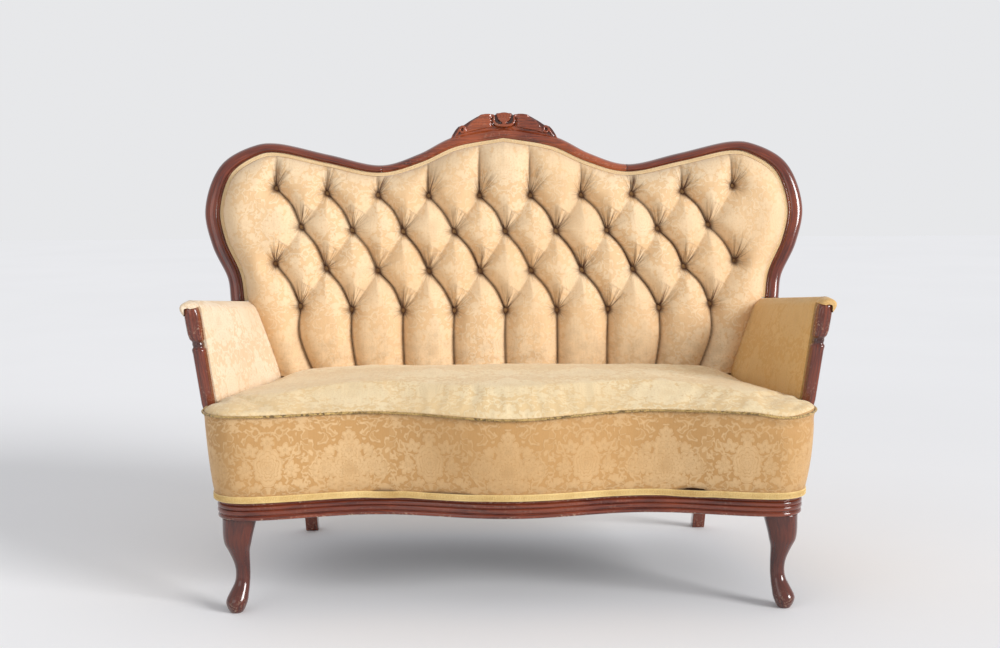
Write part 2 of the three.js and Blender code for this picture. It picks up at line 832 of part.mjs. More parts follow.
function crestCarving() {
  const base = carvingBase;
  const h = carvingHeight;
  const p = -carvingProud;
  const t = leafHalf;
  const s = shellHalfWidth;
  const w = carvingHalfWidth;
  const rods = [];
  rods.push(carvedRod([
    [-s, base + h * 0.95, p * 0.8],
    [-s * 1.15, base + h * 0.6, p * 0.94],
    [-s * 0.8, base + h * 0.25, p],
    [0, base + h * 0.06, p],
    [s * 0.8, base + h * 0.25, p],
    [s * 1.15, base + h * 0.6, p * 0.94],
    [s, base + h * 0.95, p * 0.8],
  ], [[0, t * 0.55], [0.5, t * 0.9], [1, t * 0.55]], 10));
  [-0.55, -0.2, 0.2, 0.55].forEach((lean) => {
    rods.push(carvedRod([
      [s * lean * 0.5, base + h * 0.3, p * 0.7],
      [s * lean, base + h * 0.65, p],
      [s * lean * 1.3, base + h * 0.94, p * 0.75],
    ], [[0, t * 0.36], [0.5, t * 0.76], [1, t * 0.5]], 3));
  });
  [-1, 1].forEach((side) => {
    [[0.82, 0.62, 0.5], [0.6, 0.36, 0.28], [0.36, 0.1, 0.06]].forEach(([near, middle, far]) => {
      rods.push(carvedRod([
        [side * s * 1.35, base + h * near, p * 0.7],
        [side * w * 0.46, base + h * (middle + 0.13), p * 0.88],
        [side * w * 0.84, base + h * (far - 0.16), p * 0.7],
      ], [[0, t * 0.45], [0.45, t], [1, t * 0.36]], 5));
    });
    rods.push(carvedRod([
      [side * w * 1.04, base - h * 0.28, p * 0.62],
      [side * w * 0.95, base + h * 0.04, p * 0.8],
      [side * w * 0.86, base + h * 0.2, p * 0.88],
      [side * w * 0.8, base + h * 0.08, p * 0.8],
      [side * w * 0.84, base - h * 0.08, p * 0.8],
    ], [[0, t * 0.36], [0.4, t * 0.9], [1, t * 0.7]], 6));
  });
  return rods;
}

function crestRail() {
  const half = [valleyAt + valleyGap].concat(crestStops.slice(1)).map(station);
  const rail = loft(acrossMiddle(half).map(frameRing));
  const lean = (geometry) => moved(geometry, (point) => point.setY(point.y + backPlane(point.z)));
  return crestCarving().concat(crestPlate()).reduce((whole, piece) => {
    return whole.add(asSolid(lean(piece)));
  }, asSolid(rail));
}

// The upholstered part of the back, seen from the front: inside the wood above, between the arms below
function backOutline(inset, bottom) {
  const upper = frameStops.map((stop) => {
    const point = beside(station(stop), -lipWidth - inset, 0);
    return new THREE.Vector2(point.x, point.z);
  });
  upper[0].y = waistHeight;
  const foot = stileSeatX - frameHalfDepth - lipWidth - inset;
  const right = [new THREE.Vector2(foot, bottom)].concat(upper);
  right[right.length - 1].x = 0;
  const left = right.slice(0, -1).reverse().map((point) => new THREE.Vector2(-point.x, point.y));
  return right.concat(left);
}

// Buttons in four staggered rows, lifted towards the ears
const rowHeights = rowPitches.reduce((rows, pitch) => rows.concat(rows[rows.length - 1] + pitch),
  [seatEdge + firstRowRise]);

function rowCurve(x) {
  return rowLift * (x / (buttonPitch * 4.5)) ** 4;
}

const buttons = rowHeights.flatMap((height, row) => {
  const places = row % 2 === 0 ? steps(-4, 4, 8) : steps(-4.5, 4.5, 9);
  return places.map((place) => {
    const x = place * buttonPitch;
    return { row, x, z: height + rowCurve(x) };
  });
});

// Folds run from each button to its neighbours in the next row, and straight on to the frame and the seat
function foldLines() {
  const folds = [];
  buttons.forEach((from) => {
    buttons.filter((to) => to.row === from.row - 1 && Math.abs(to.x - from.x) < buttonPitch * 0.6).forEach((to) => {
      folds.push({ from, to, strength: to.x > from.x ? foldStrength : faintFold });
    });
    if (from.row === 0) {
      const gather = 1 - 0.08 * (from.x / (buttonPitch * 4)) ** 2;
      folds.push({ from, to: { x: from.x * gather, z: padBottom }, strength: straightFold });
    }
    if (from.row === rowHeights.length - 1) {
      folds.push({ from, to: { x: from.x, z: crestHeight + slabMargin }, strength: straightFold });
    }
  });
  return folds;
}

function distanceToSegment(x, z, from, to) {
  const dx = to.x - from.x;
  const dz = to.z - from.z;
  const share = ((x - from.x) * dx + (z - from.z) * dz) / (dx * dx + dz * dz);
  const t = Math.min(Math.max(share, 0), 1);
  return { distance: Math.hypot(x - from.x - t * dx, z - from.z - t * dz), share: t };
}

// How far the cloth stands in front of the leaning plane
function tuftedFace(folds, edge) {
  return (x, z) => {
    let pinch = 0;
    folds.forEach((fold) => {
      const { distance, share } = distanceToSegment(x, z, fold.from, fold.to);
      const ends = Math.abs(2 * share - 1) ** 2;
      const strength = fold.to.row === undefined ? fold.strength : mix(fold.strength, 1, ends);
      pinch = Math.max(pinch, strength * Math.exp(-((distance / foldWidth) ** 1.4)));
    });
    let toEdge = Infinity;
    edge.forEach((from, i) => {
      const to = edge[(i + 1) % edge.length];
      const bottom = from.y <= padBottom + 1 && to.y <= padBottom + 1;
      if (!bottom) {
        const segment = [{ x: from.x, z: from.y }, { x: to.x, z: to.y }];
        toEdge = Math.min(toEdge, distanceToSegment(x, z, ...segment).distance);
      }
    });
    const round = Math.sqrt(1 - (1 - Math.min(toEdge / edgeRound, 1)) ** 2);
    return padEdge + round * (buttonSeat + tuftDepth * (1 - pinch));
  };
}

// A slab between a shaped front and a flat back, over a grid of places across and heights
function gridSlab(columns, heightsAt, front, back) {
  const points = [];
  const faces = [];
  const rows = heightsAt(0).length;
  columns.forEach((x) => heightsAt(x).forEach((z) => points.push(new THREE.Vector3(x, -front(x, z), z))));
  const at = (i, j) => i * rows + j;
  for (let i = 0; i < columns.length - 1; i += 1) {
    for (let j = 0; j < rows - 1; j += 1) {
      const rising = (i + j) % 2 === 0;
      const [a, b, c, d] = [at(i, j), at(i + 1, j), at(i + 1, j + 1), at(i, j + 1)];
      faces.push(...(rising ? [[a, b, c], [a, c, d]] : [[a, b, d], [b, c, d]]));
    }
  }
  const border = [];
  for (let i = 0; i < columns.length - 1; i += 1) border.push(at(i, 0));
  for (let j = 0; j < rows - 1; j += 1) border.push(at(columns.length - 1, j));
  for (let i = columns.length - 1; i > 0; i -= 1) border.push(at(i, rows - 1));
  for (let j = rows - 1; j > 0; j -= 1) border.push(at(0, j));
  const behind = border.map((k) => points[k].clone().setY(back));
  const offset = points.length;
  points.push(...behind);
  border.forEach((k, i) => {
    const next = (i + 1) % border.length;
    faces.push([k, offset + i, offset + next], [k, offset + next, border[next]]);
  });
  const flat = behind.map((point) => new THREE.Vector2(point.x, point.z));
  THREE.ShapeUtils.triangulateShape(flat, []).forEach(([a, b, c]) => faces.push([offset + a, offset + c, offset + b]));
  return closedMesh(points, faces);
}

function outlinePrism(outline, from, to) {
  const prism = new THREE.ExtrudeGeometry(new THREE.Shape(outline), { depth: to - from, bevelEnabled: false });
  prism.rotateX(Math.PI / 2);
  prism.translate(0, to, 0);
  return asSolid(prism);
}

// Back pad: the deep-buttoned face, cut to the frame; grown makes it larger all round for its neighbours' cuts
const backEdge = backOutline(fit, padBottom);
const tufted = tuftedFace(foldLines(), backEdge);

function paddedBack(grown) {
  const perPitch = 3;
  const cell = buttonPitch / 2 / perPitch;
  const reach = Math.ceil((earX + slabMargin) / cell);
  const columns = steps(-reach * cell, reach * cell, reach * 2);
  const bottom = padBottom - slabMargin;
  const heightsAt = (x) => {
    const lift = rowCurve(x);
    const low = steps(bottom, rowHeights[0] + lift, 5).slice(0, -1);
    const between = rowHeights.slice(0, -1).flatMap((height, row) => {
      return steps(height + lift, rowHeights[row + 1] + lift, perPitch).slice(0, -1);
    });
    const high = steps(rowHeights[rowHeights.length - 1] + lift, crestHeight + tallMargin, 6);
    return low.concat(between, high);
  };
  const slab = asSolid(gridSlab(columns, heightsAt, (x, z) => tufted(x, z) + grown, padBack + grown));
  return slab.intersect(outlinePrism(backOutline(fit - grown, padBottom - grown), -backDepth, tallMargin));
}

function leaned(solid) {
  return asSolid(moved(asGeometry(solid), (point) => point.setY(point.y + backPlane(point.z))));
}

const backRoom = leaned(paddedBack(fit * 2));

// Every button has a small flat seat in the pad
function backPad() {
  return leaned(buttons.reduce((pad, place) => {
    const radius = buttonRadius + pitMargin;
    const pit = new THREE.CylinderGeometry(radius, radius, tallMargin, 6);
    pit.translate(place.x, buttonSink - buttonFace - tallMargin / 2, place.z);
    return pad.subtract(asSolid(pit));
  }, paddedBack(0)));
}

function button(place) {
  const profile = [
    [0, 0],
    [buttonRadius * 0.9, 0],
    [buttonRadius, buttonHeight * 0.35],
    [buttonRadius * 0.6, buttonHeight * 0.85],
    [0, buttonHeight],
  ].map(([x, y]) => new THREE.Vector2(x, y));
  const dome = new THREE.LatheGeometry(profile, 6);
  dome.rotateX(Math.PI);
  dome.translate(place.x, buttonSink - buttonFace - fit, place.z);
  return asGeometry(leaned(asSolid(dome)));
}

// Gimp round the back: a flat braid laid on the lip between the wood and the padding
function backGimp() {
  const front = -lipHalfDepth - fit;
  const line = acrossMiddle(frameStops.map(station));
  return loft(line.map((spot) => [
    beside(spot, -lipWidth + braidMargin, front),
    beside(spot, -braidMargin, front),
    beside(spot, -braidMargin * 2, front - gimpThickness),
    beside(spot, -lipWidth + braidMargin * 2, front - gimpThickness),
  ]));
}

// Outside back: a cloth stretched over the back of the frame, down to the back seat rail
function backCover() {
  const inset = fit * 2;
  const lowHeights = postHeights.filter((z) => z >= railTop && z <= padBottom);
  const lowRight = lowHeights.map((z) => {
    return new THREE.Vector2(stileX(z) - stileHalf(z) - lipWidth - inset, z);
  });
  const upper = backOutline(inset, padBottom).filter((point) => point.y > padBottom + 1);
  const lowLeft = lowRight.map((point) => new THREE.Vector2(-point.x, point.y)).reverse();
  const prism = outlinePrism(lowRight.concat(upper, lowLeft), 0, backDepth * 3);
  const heights = postHeights.filter((z) => z >= railTop).concat(crestHeight + tallMargin);
  const sheet = loft(heights.map((z) => {
    const front = (z > waistHeight ? backPlane(z) : stileY(z)) + backRailThickness / 2 + fit;
    return [[-1, 0], [1, 0], [1, clothThickness], [-1, clothThickness]].map(([side, behind]) => {
      return new THREE.Vector3(side * (earX + slabMargin), front + behind, z);
    });
  }));
  return asGeometry(asSolid(sheet).intersect(prism));
}

addPiece('seat_rail_front', frontRail(), wood);
addPair('seat_rail', sideRail(), wood);
addPiece('seat_rail_back', backRail(), wood);
addPair('front_leg', frontLeg(), wood);
addPair('back_post', backPost(), wood);
addPair('ear_rail', earRail(), wood);
addPiece('crest_rail', asGeometry(crestRail()), wood);
addPair('arm_post', armPost(), wood);
addPair('arm_pad', asGeometry(armPad()), cloth);
addPiece('seat_pad', asGeometry(seatPad()), cloth);
addPiece('seat_piping', seatPiping(), braid);
addPiece('seat_gimp', seatGimp(), braid);
addPiece('back_pad', asGeometry(backPad()), cloth);
addPiece('back_gimp', backGimp(), braid);
addPiece('back_cover', backCover(), cloth);
addPiece('dust_cover', dustCover(), lining);
buttons.forEach((place, i) => addPiece(`button_${String(i + 1).padStart(2, '0')}`, button(place), cloth));

// The origin lies under the middle of the whole sofa, from the piping in front to the feet behind
const frontReach = seatFront + waveHeight + borderFlare + fit + 2 * pipingRadius;
const rearReach = backDepth + rearLegSetBack + rearRake + rearLegSize / 2;
settee.position.y = (frontReach - rearReach) / 2;

export default settee;
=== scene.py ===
# The looks of the worn two-seat sofa: carved and moulded wood, deep-buttoned damask, braid and wear.
# Lengths are worked out in millimetres, in the frame's own axes, and become metres where a mesh is made.

import math

import bpy
import numpy as np
from mathutils import Matrix, Vector
from mathutils.kdtree import KDTree


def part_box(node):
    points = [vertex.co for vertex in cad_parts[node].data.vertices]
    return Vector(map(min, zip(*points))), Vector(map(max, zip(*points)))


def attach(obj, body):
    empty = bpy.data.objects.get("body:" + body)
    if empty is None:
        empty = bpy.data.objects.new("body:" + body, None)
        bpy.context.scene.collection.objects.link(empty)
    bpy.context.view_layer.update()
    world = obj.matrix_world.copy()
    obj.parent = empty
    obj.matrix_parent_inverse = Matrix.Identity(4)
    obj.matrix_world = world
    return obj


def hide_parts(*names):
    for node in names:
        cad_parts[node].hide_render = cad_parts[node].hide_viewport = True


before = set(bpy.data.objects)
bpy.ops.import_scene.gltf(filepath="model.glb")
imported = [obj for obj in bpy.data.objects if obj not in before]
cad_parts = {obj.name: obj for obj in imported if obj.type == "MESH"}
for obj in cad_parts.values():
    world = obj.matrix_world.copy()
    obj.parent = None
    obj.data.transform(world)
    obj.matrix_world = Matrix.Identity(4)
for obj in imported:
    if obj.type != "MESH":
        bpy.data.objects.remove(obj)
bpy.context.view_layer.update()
rng = np.random.default_rng(7)
mm = 0.001


def heightsOf(node):
    low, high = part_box(node)
    return low.z / mm, high.z / mm


legHeight, railTop = heightsOf("seat_rail_front")
waistHeight = heightsOf("back_post_right")[1]
fit = 0.3

sofa = {
    "borderHeight": 185,
    "crownRise": 34,
    "seatWidth": 1202,
    "seatFront": 314,
    "waveHeight": 24,
    "cornerRadius": 56,
    "railForward": 7,
    "sideTaper": 85,
    "borderFlare": 30,
    "flareStart": 9,
    "edgeDrop": 10,
    "cornerSag": 9,
    "pipingRadius": 3.6,
    "backDepth": 173,
    "backLean": 0.228,
    "waistWidth": 1286,
    "earWidth": 1412,
    "earTopWidth": 1114,
    "valleyWidth": 594,
    "earSideHeight": 818,
    "earTopHeight": 964,
    "valleyHeight": 912,
    "crestHeight": 1000,
    "frameHalfDepth": 17,
    "lipWidth": 9,
    "lipHalfDepth": 10,
    "rearRake": 89,
    "rearLegSetBack": 79,
    "rearFootWidth": 982,
}

seatEdge = railTop + sofa["borderHeight"]
padBottom = seatEdge + 6
halfSeat = sofa["seatWidth"] / 2
cornerX = halfSeat - sofa["cornerRadius"]
frontReach = sofa["seatFront"] + sofa["waveHeight"] + sofa["borderFlare"] + fit + 2 * sofa["pipingRadius"]
shift = np.array([0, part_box("seat_piping")[0].y / mm + frontReach, 0])
print("frame loaded, sizes ready")


# Numbers and curves

def mix(first, last, share):
    return first + (last - first) * share


def smoothStep(first, last, value):
    t = np.clip((value - first) / (last - first), 0, 1)
    return t * t * (3 - 2 * t)


def curveThrough(pairs):  # a smooth curve of one value against another
    at, value = np.array(pairs, float).T
    last = len(at) - 1
    before, after = np.maximum(np.arange(last + 1) - 1, 0), np.minimum(np.arange(last + 1) + 1, last)
    slope = (value[after] - value[before]) / (at[after] - at[before])

    def curve(x):
        x = np.asarray(x, float)
        i = np.clip(np.searchsorted(at, x, side="right") - 1, 0, last - 1)
        span = at[i + 1] - at[i]
        t = np.clip((x - at[i]) / span, 0, 1)
        ends = value[i] * (1 - t) ** 2 * (1 + 2 * t) + value[i + 1] * t * t * (3 - 2 * t)
        return ends + span * t * (1 - t) * (slope[i] * (1 - t) - slope[i + 1] * t)

    return curve


def pathThrough(places, perSpan=6):  # a round line through a few places, in any number of axes
    places = np.array(places, float)
    padded = np.vstack([2 * places[0] - places[1], places, 2 * places[-1] - places[-2]])[:, None, :]
    before, first, last, after = padded[:-3], padded[1:-2], padded[2:-1], padded[3:]
    t = np.linspace(0, 1, perSpan, endpoint=False)[None, :, None]
    points = 0.5 * (2 * first + (last - before) * t + (2 * before - 5 * first + 4 * last - after) * t ** 2
                    + (3 * first - before - 3 * last + after) * t ** 3)
    return np.vstack([points.reshape(-1, places.shape[1]), places[-1]])


def walked(path):  # how far along a line each of its points lies
    return np.concatenate([[0], np.cumsum(np.linalg.norm(np.diff(path, axis=0), axis=1))])


def closedLine(outline):
    return np.vstack([outline, outline[:1]])


def spacedAlong(path, gap):  # places along a line at even distances, with their directions
    length = walked(path)
    at = np.linspace(0, length[-1], max(int(length[-1] / gap), 2))
    points = np.column_stack([np.interp(at, length, path[:, k]) for k in range(path.shape[1])])
    along = np.gradient(points, axis=0)
    return points, along / np.linalg.norm(along, axis=1)[:, None], at


# Meshes

def addMesh(name, points, faces, smooth=True):
    mesh = bpy.data.meshes.new(name)
    mesh.from_pydata(((np.asarray(points) + shift) * mm).tolist(), [], faces)
    if smooth:
        mesh.shade_smooth()
    piece = bpy.data.objects.new(name, mesh)
    bpy.context.scene.collection.objects.link(piece)
    return piece


def volumeOf(points, faces):
    total = 0.0
    for face in faces:
        corner = points[face[0]]
        for i in range(1, len(face) - 1):
            total += np.dot(corner, np.cross(points[face[i]], points[face[i + 1]]))
    return total / 6


def outward(points, faces):
    return faces if volumeOf(points, faces) > 0 else [face[::-1] for face in faces]


def loft(rings):  # a skin over rings of points: the points, the faces and a map of lengths for the grain
    rings = np.asarray(rings, float)
    count, size = rings.shape[:2]
    points = rings.reshape(-1, 3)
    faces, lengths = [], []
    along = walked(rings.mean(1))
    around = walked(np.vstack([rings[count // 2], rings[count // 2][:1]]))
    for r in range(count - 1):
        for i in range(size):
            j = (i + 1) % size
            near, far, low, high = along[r], along[r + 1], around[i], around[i + 1]
            faces.append([r * size + i, r * size + j, (r + 1) * size + j, (r + 1) * size + i])
            lengths.append([(near, low), (near, high), (far, high), (far, low)])
    faces.append(list(range(size))[::-1])
    faces.append([(count - 1) * size + i for i in range(size)])
    for ring in (rings[0][::-1], rings[-1]):
        lengths.append([(point[0], point[2]) for point in ring])
    if volumeOf(points, faces) < 0:
        faces = [face[::-1] for face in faces]
        lengths = [part[::-1] for part in lengths]
    return points, faces, lengths


def addMap(piece, name, corners):  # a UV map in metres, from millimetres for each corner of each face
    flat = np.array([place for part in corners for place in part], np.float32) * mm
    piece.data.uv_layers.new(name=name).data.foreach_set("uv", flat.ravel())


def addNumbers(piece, name, values):
    piece.data.attributes.new(name, "FLOAT", "POINT").data.foreach_set("value", np.asarray(values, np.float32))


def addLoft(name, rings, material, slotName="wood", mapName="grain"):
    points, faces, lengths = loft(rings)
    piece = addMesh(name, points, faces)
    addMap(piece, mapName, lengths)
    piece.data.materials.append(material)
    for polygon in piece.data.polygons[-2:]:
        polygon.use_smooth = False
    finishPiece(piece, slotName)
    return piece


def finishPiece(piece, slotName, *nodes):
    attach(piece, "root")
    if nodes:
        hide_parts(*nodes)


def otherSide(rings):
    return np.asarray(rings) * np.array([-1, 1, 1])


def addPair(name, node, rings, materials, slotName="wood", mapName="grain", **numbers):  # right and left, mirrored
    pieces = []
    for side, places, material in (("right", rings, materials[0]), ("left", otherSide(rings), materials[1])):
        piece = addLoft(name + side.title(), places, material, slotName, mapName)
        for label, values in numbers.items():
            addNumbers(piece, label, values)
        if node:
            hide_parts(f"{node}_{side}")
        pieces.append(piece)
    return pieces


def squared(turn, power):  # a circle drawn out towards a square, across and along
    return [np.sign(wave) * np.abs(wave) ** power for wave in (np.cos(turn), np.sin(turn))]


def tubeFaces(count, sides):  # the faces of a small closed tube, ring after ring
    faces = [[r * sides + i, r * sides + (i + 1) % sides, (r + 1) * sides + (i + 1) % sides, (r + 1) * sides + i]
             for r in range(count - 1) for i in range(sides)]
    return faces + [list(range(sides))[::-1], list(range((count - 1) * sides, count * sides))]


def filledShape(outline, cell):  # a flat grid that fills an outline, its edge points drawn onto the outline
    low, high = outline.min(0), outline.max(0)
    columns = int(np.ceil((high[0] - low[0]) / cell)) + 2
    rows = int(np.ceil((high[1] - low[1]) / cell)) + 2
    middle = (low + high) / 2
    xs = middle[0] + (np.arange(columns + 1) - columns / 2) * cell
    ys = middle[1] + (np.arange(rows + 1) - rows / 2) * cell
    a, b = outline, np.roll(outline, -1, 0)
    inside = np.zeros((columns, rows), bool)
    cx = (xs[:-1] + xs[1:]) / 2
    cy = (ys[:-1] + ys[1:]) / 2
    for j, y in enumerate(cy):
        crossing = (a[:, 1] > y) != (b[:, 1] > y)
        p, q = a[crossing], b[crossing]
        where = p[:, 0] + (y - p[:, 1]) * (q[:, 0] - p[:, 0]) / (q[:, 1] - p[:, 1])
        inside[:, j] = (where[None, :] > cx[:, None]).sum(1) % 2 == 1
    for _ in range(3):  # cells that hang on by a corner or a single side are dropped
        around = np.pad(inside, 1).astype(int)
        sides = around[:-2, 1:-1] + around[2:, 1:-1] + around[1:-1, :-2] + around[1:-1, 2:]
        inside &= sides >= 2
    number = -np.ones((columns + 1, rows + 1), int)
    used = np.zeros((columns + 1, rows + 1), int)
    for di in (0, 1):
        for dj in (0, 1):
            used[di:columns + di, dj:rows + dj] += inside
    number[used > 0] = np.arange((used > 0).sum())
    gx, gy = np.meshgrid(xs, ys, indexing="ij")
    points = np.column_stack([gx[used > 0], gy[used > 0]])
    i, j = np.nonzero(inside)
    faces = np.column_stack([number[i, j], number[i + 1, j], number[i + 1, j + 1], number[i, j + 1]])
    follows = {}
    edges = set()
    for face in faces.tolist():
        for k in range(4):
            edges.add((face[k], face[(k + 1) % 4]))
    for first, last in edges:
        if (last, first) not in edges:
            follows[first] = last
    start = next(iter(follows))
    loop = [start]
    while follows[loop[-1]] != start:
        loop.append(follows[loop[-1]])
    dense = spacedAlong(closedLine(outline), cell / 5)[0]
    whole = len(dense) - 1
    nearest = np.array([np.argmin(((dense - points[k]) ** 2).sum(1)) for k in loop], float)
    jumps = np.diff(np.append(nearest, nearest[0]))
    jumps -= np.round(jumps / whole) * whole
    direction = np.sign(jumps.sum())
    along = nearest[0] + np.concatenate([[0], np.cumsum(jumps[:-1])])
    for _ in range(12):  # the edge points keep their order and spread evenly
        before = np.roll(along, 1)
        before[0] -= direction * whole
        after = np.roll(along, -1)
        after[-1] += direction * whole
        along = (before + 2 * along + after) / 4
    points[loop] = dense[np.round(along).astype(int) % whole]
    onEdge = np.zeros(len(points), bool)
    onEdge[loop] = True
    near = ~onEdge & (distanceTo(points, dense) < 3 * cell)
    for _ in range(4):  # the cells beside the edge are evened out
        total, times = np.zeros_like(points), np.zeros(len(points))
        for k in range(4):
            np.add.at(total, faces[:, k], points[faces[:, (k + 1) % 4]] + points[faces[:, k - 1]])
            np.add.at(times, faces[:, k], 2)
        points[near] = mix(points[near], (total / times[:, None])[near], 0.6)
    return points, faces, loop


def distanceTo(points, line):
    tree = KDTree(len(line))
    for i, (x, y) in enumerate(line):
        tree.insert((x, y, 0), i)
    tree.balance()
    return np.array([tree.find((x, y, 0))[2] for x, y in points])


# Materials. Colours are written as they look on a screen.

def paint(*colour):
    return tuple(c / 12.92 if c <= 0.04045 else ((c + 0.055) / 1.055) ** 2.4 for c in colour) + (1,)


class Field:  # a number that varies over a surface, worked out by Math nodes
    def __init__(self, tree, socket):
        self.tree, self.socket = tree, socket

    def use(self, operation, *others):
        node = self.tree.nodes.new("ShaderNodeMath")
        node.operation = operation
        self.tree.links.new(self.socket, node.inputs[0])
        for i, other in enumerate(others):
            if isinstance(other, Field):
                self.tree.links.new(other.socket, node.inputs[i + 1])
            else:
                node.inputs[i + 1].default_value = other
        return Field(self.tree, node.outputs[0])

    def __add__(self, other):
        return self.use("ADD", other)

    def __sub__(self, other):
        return self.use("SUBTRACT", other)

    def __mul__(self, other):
        return self.use("MULTIPLY", other)

    def __truediv__(self, other):
        return self.use("DIVIDE", other)

    def smooth(self, low, high):
        node = self.tree.nodes.new("ShaderNodeMapRange")
        node.interpolation_type = "SMOOTHSTEP"
        self.tree.links.new(self.socket, node.inputs["Value"])
        node.inputs["From Min"].default_value, node.inputs["From Max"].default_value = low, high
        return Field(self.tree, node.outputs["Result"])


def newMaterial(name):
    material = bpy.data.materials.new(name)
    material.use_nodes = True
    tree = material.node_tree
    return material, tree, tree.nodes["Principled BSDF"]


def coordinates(tree, mapName=None, stretch=(1, 1, 1)):
    if mapName:
        source = tree.nodes.new("ShaderNodeUVMap")
        source.uv_map = mapName
        place = source.outputs["UV"]
    else:
        place = tree.nodes.new("ShaderNodeTexCoord").outputs["Object"]
    mapping = tree.nodes.new("ShaderNodeMapping")
    mapping.inputs["Scale"].default_value = stretch
    tree.links.new(place, mapping.inputs["Vector"])
    return mapping.outputs["Vector"]


def noiseField(tree, vector, scale, detail=4, roughness=0.55, distortion=0.0):
    node = tree.nodes.new("ShaderNodeTexNoise")
    node.inputs["Scale"].default_value = scale
    node.inputs["Detail"].default_value = detail
    node.inputs["Roughness"].default_value = roughness
    node.inputs["Distortion"].default_value = distortion
    tree.links.new(vector, node.inputs["Vector"])
    return Field(tree, node.outputs["Fac"])


def numberOf(tree, name):
    node = tree.nodes.new("ShaderNodeAttribute")
    node.attribute_name = name
    return Field(tree, node.outputs["Fac"])


def blendColours(tree, share, first, last, mode="MIX"):
    node = tree.nodes.new("ShaderNodeMix")
    node.data_type, node.blend_type = "RGBA", mode
    for socket, value in ((node.inputs[0], share), (node.inputs[6], first), (node.inputs[7], last)):
        if isinstance(value, Field):
            tree.links.new(value.socket, socket)
        elif isinstance(value, bpy.types.NodeSocket):
            tree.links.new(value, socket)
        else:
            socket.default_value = value
    return node.outputs[2]


def bumpFrom(tree, shader, field, distance, strength=1.0):
    bump = tree.nodes.new("ShaderNodeBump")
    bump.inputs["Strength"].default_value = strength
    bump.inputs["Distance"].default_value = distance
    tree.links.new(field.socket, bump.inputs["Height"])
    tree.links.new(bump.outputs["Normal"], shader.inputs["Normal"])


woodLook = {
    "dark": paint(0.21, 0.065, 0.045),
    "middle": paint(0.42, 0.15, 0.085),
    "warm": paint(0.66, 0.325, 0.17),
    "scuff": paint(0.82, 0.70, 0.58),
    "stretch": (1.6, 26, 26),
    "gloss": 0.13,
    "coat": 0.55,
}


def makeWood(name, mapName=None, warmth=0.4, wear=0.5, depth=0.0):
    look = woodLook
    material, tree, shader = newMaterial(name)
    vector = coordinates(tree, mapName, look["stretch"])
    plain = coordinates(tree, mapName)
    grain = noiseField(tree, vector, 9, 6, 0.62, 0.4)
    pores = noiseField(tree, vector, 42, 3, 0.5)
    cloud = noiseField(tree, plain, 7, 3, 0.5)
    colour = blendColours(tree, grain.smooth(0.25, 0.75), look["dark"], look["middle"])
    warm = (cloud.smooth(0.3, 0.75) * 0.6 + grain.smooth(0.35, 0.75) * 0.4) * warmth
    colour = blendColours(tree, warm, colour, look["warm"])
    colour = blendColours(tree, pores.smooth(0.6, 0.75) * 0.35, colour, look["dark"])
    # Painted shade: the wood is darkened towards the dark tone where it lies in a recess.
    colour = blendColours(tree, numberOf(tree, "hollow") * 0.85, colour, look["dark"])
    # depth darkens the whole piece towards the dark tone: painted shade.
    colour = blendColours(tree, depth, colour, look["dark"])
    chips = noiseField(tree, plain, 150, 3, 0.75)
    patches = noiseField(tree, plain, 16, 2, 0.5)
    worn = chips.smooth(0.53, 0.59) * patches.smooth(0.44, 0.58) * numberOf(tree, "edge") * wear
    colour = blendColours(tree, worn, colour, look["scuff"])
    tree.links.new(colour, shader.inputs["Base Color"])
    smear = noiseField(tree, plain, 30, 4, 0.6)
    rough = smear.smooth(0.3, 0.8) * 0.1 + look["gloss"]
    tree.links.new((rough + worn * 0.5).socket, shader.inputs["Roughness"])
    shader.inputs["Coat Weight"].default_value = look["coat"]
    shader.inputs["Coat Roughness"].default_value = 0.08
    bumpFrom(tree, shader, grain * 0.3 + pores * 0.12 - worn * 1.6, 0.0004, 0.4)
    return material


damask = {  # blooms are given by centre, size, petals, how deep they are cut and how much they are narrowed
    "across": 165.0,
    "up": 150.0,
    "palmette": [
        ((0, -24), 38, 13, 0.22, 1), ((0, 12), 27, 9, 0.28, 1), ((0, 42), 16, 5, 0.35, 1.3),
        ((51, -22), 25, 9, 0.36, 1), ((38, 14), 12, 5, 0.45, 1), ((24, -58), 14, 7, 0.35, 0.8),
    ],
    "urn": [
        ((0, -14), 44, 9, 0.14, 1.5), ((0, 36), 16, 7, 0.4, 1), ((34, 20), 15, 5, 0.5, 1),
        ((48, -22), 18, 7, 0.45, 1), ((26, -58), 12, 5, 0.5, 1),
    ],
    "heart": ((0, -24), 15, 2, 0.1, 1),
}


def bloom(across, up, centre, size, petals, depth, narrowed):  # how far inside a flower a place lies
    x, y = across * narrowed - centre[0], up - centre[1]
    reach = (x * x + y * y).use("SQRT")
    turn = x.use("ARCTAN2", y)
    scallop = (turn * (petals / 2)).use("COSINE").use("ABSOLUTE").use("POWER", 0.6)
    return scallop * (size * depth) + size * (1 - depth) - reach


def anyOf(across, up, blooms):
    whole = bloom(across, up, *blooms[0])
    for spec in blooms[1:]:
        whole = whole.use("MAXIMUM", bloom(across, up, *spec))
    return whole


def vectorOf(tree, *fields):
    node = tree.nodes.new("ShaderNodeCombineXYZ")
    for i, field in enumerate(fields):
        tree.links.new(field.socket, node.inputs[i])
    return node.outputs[0]


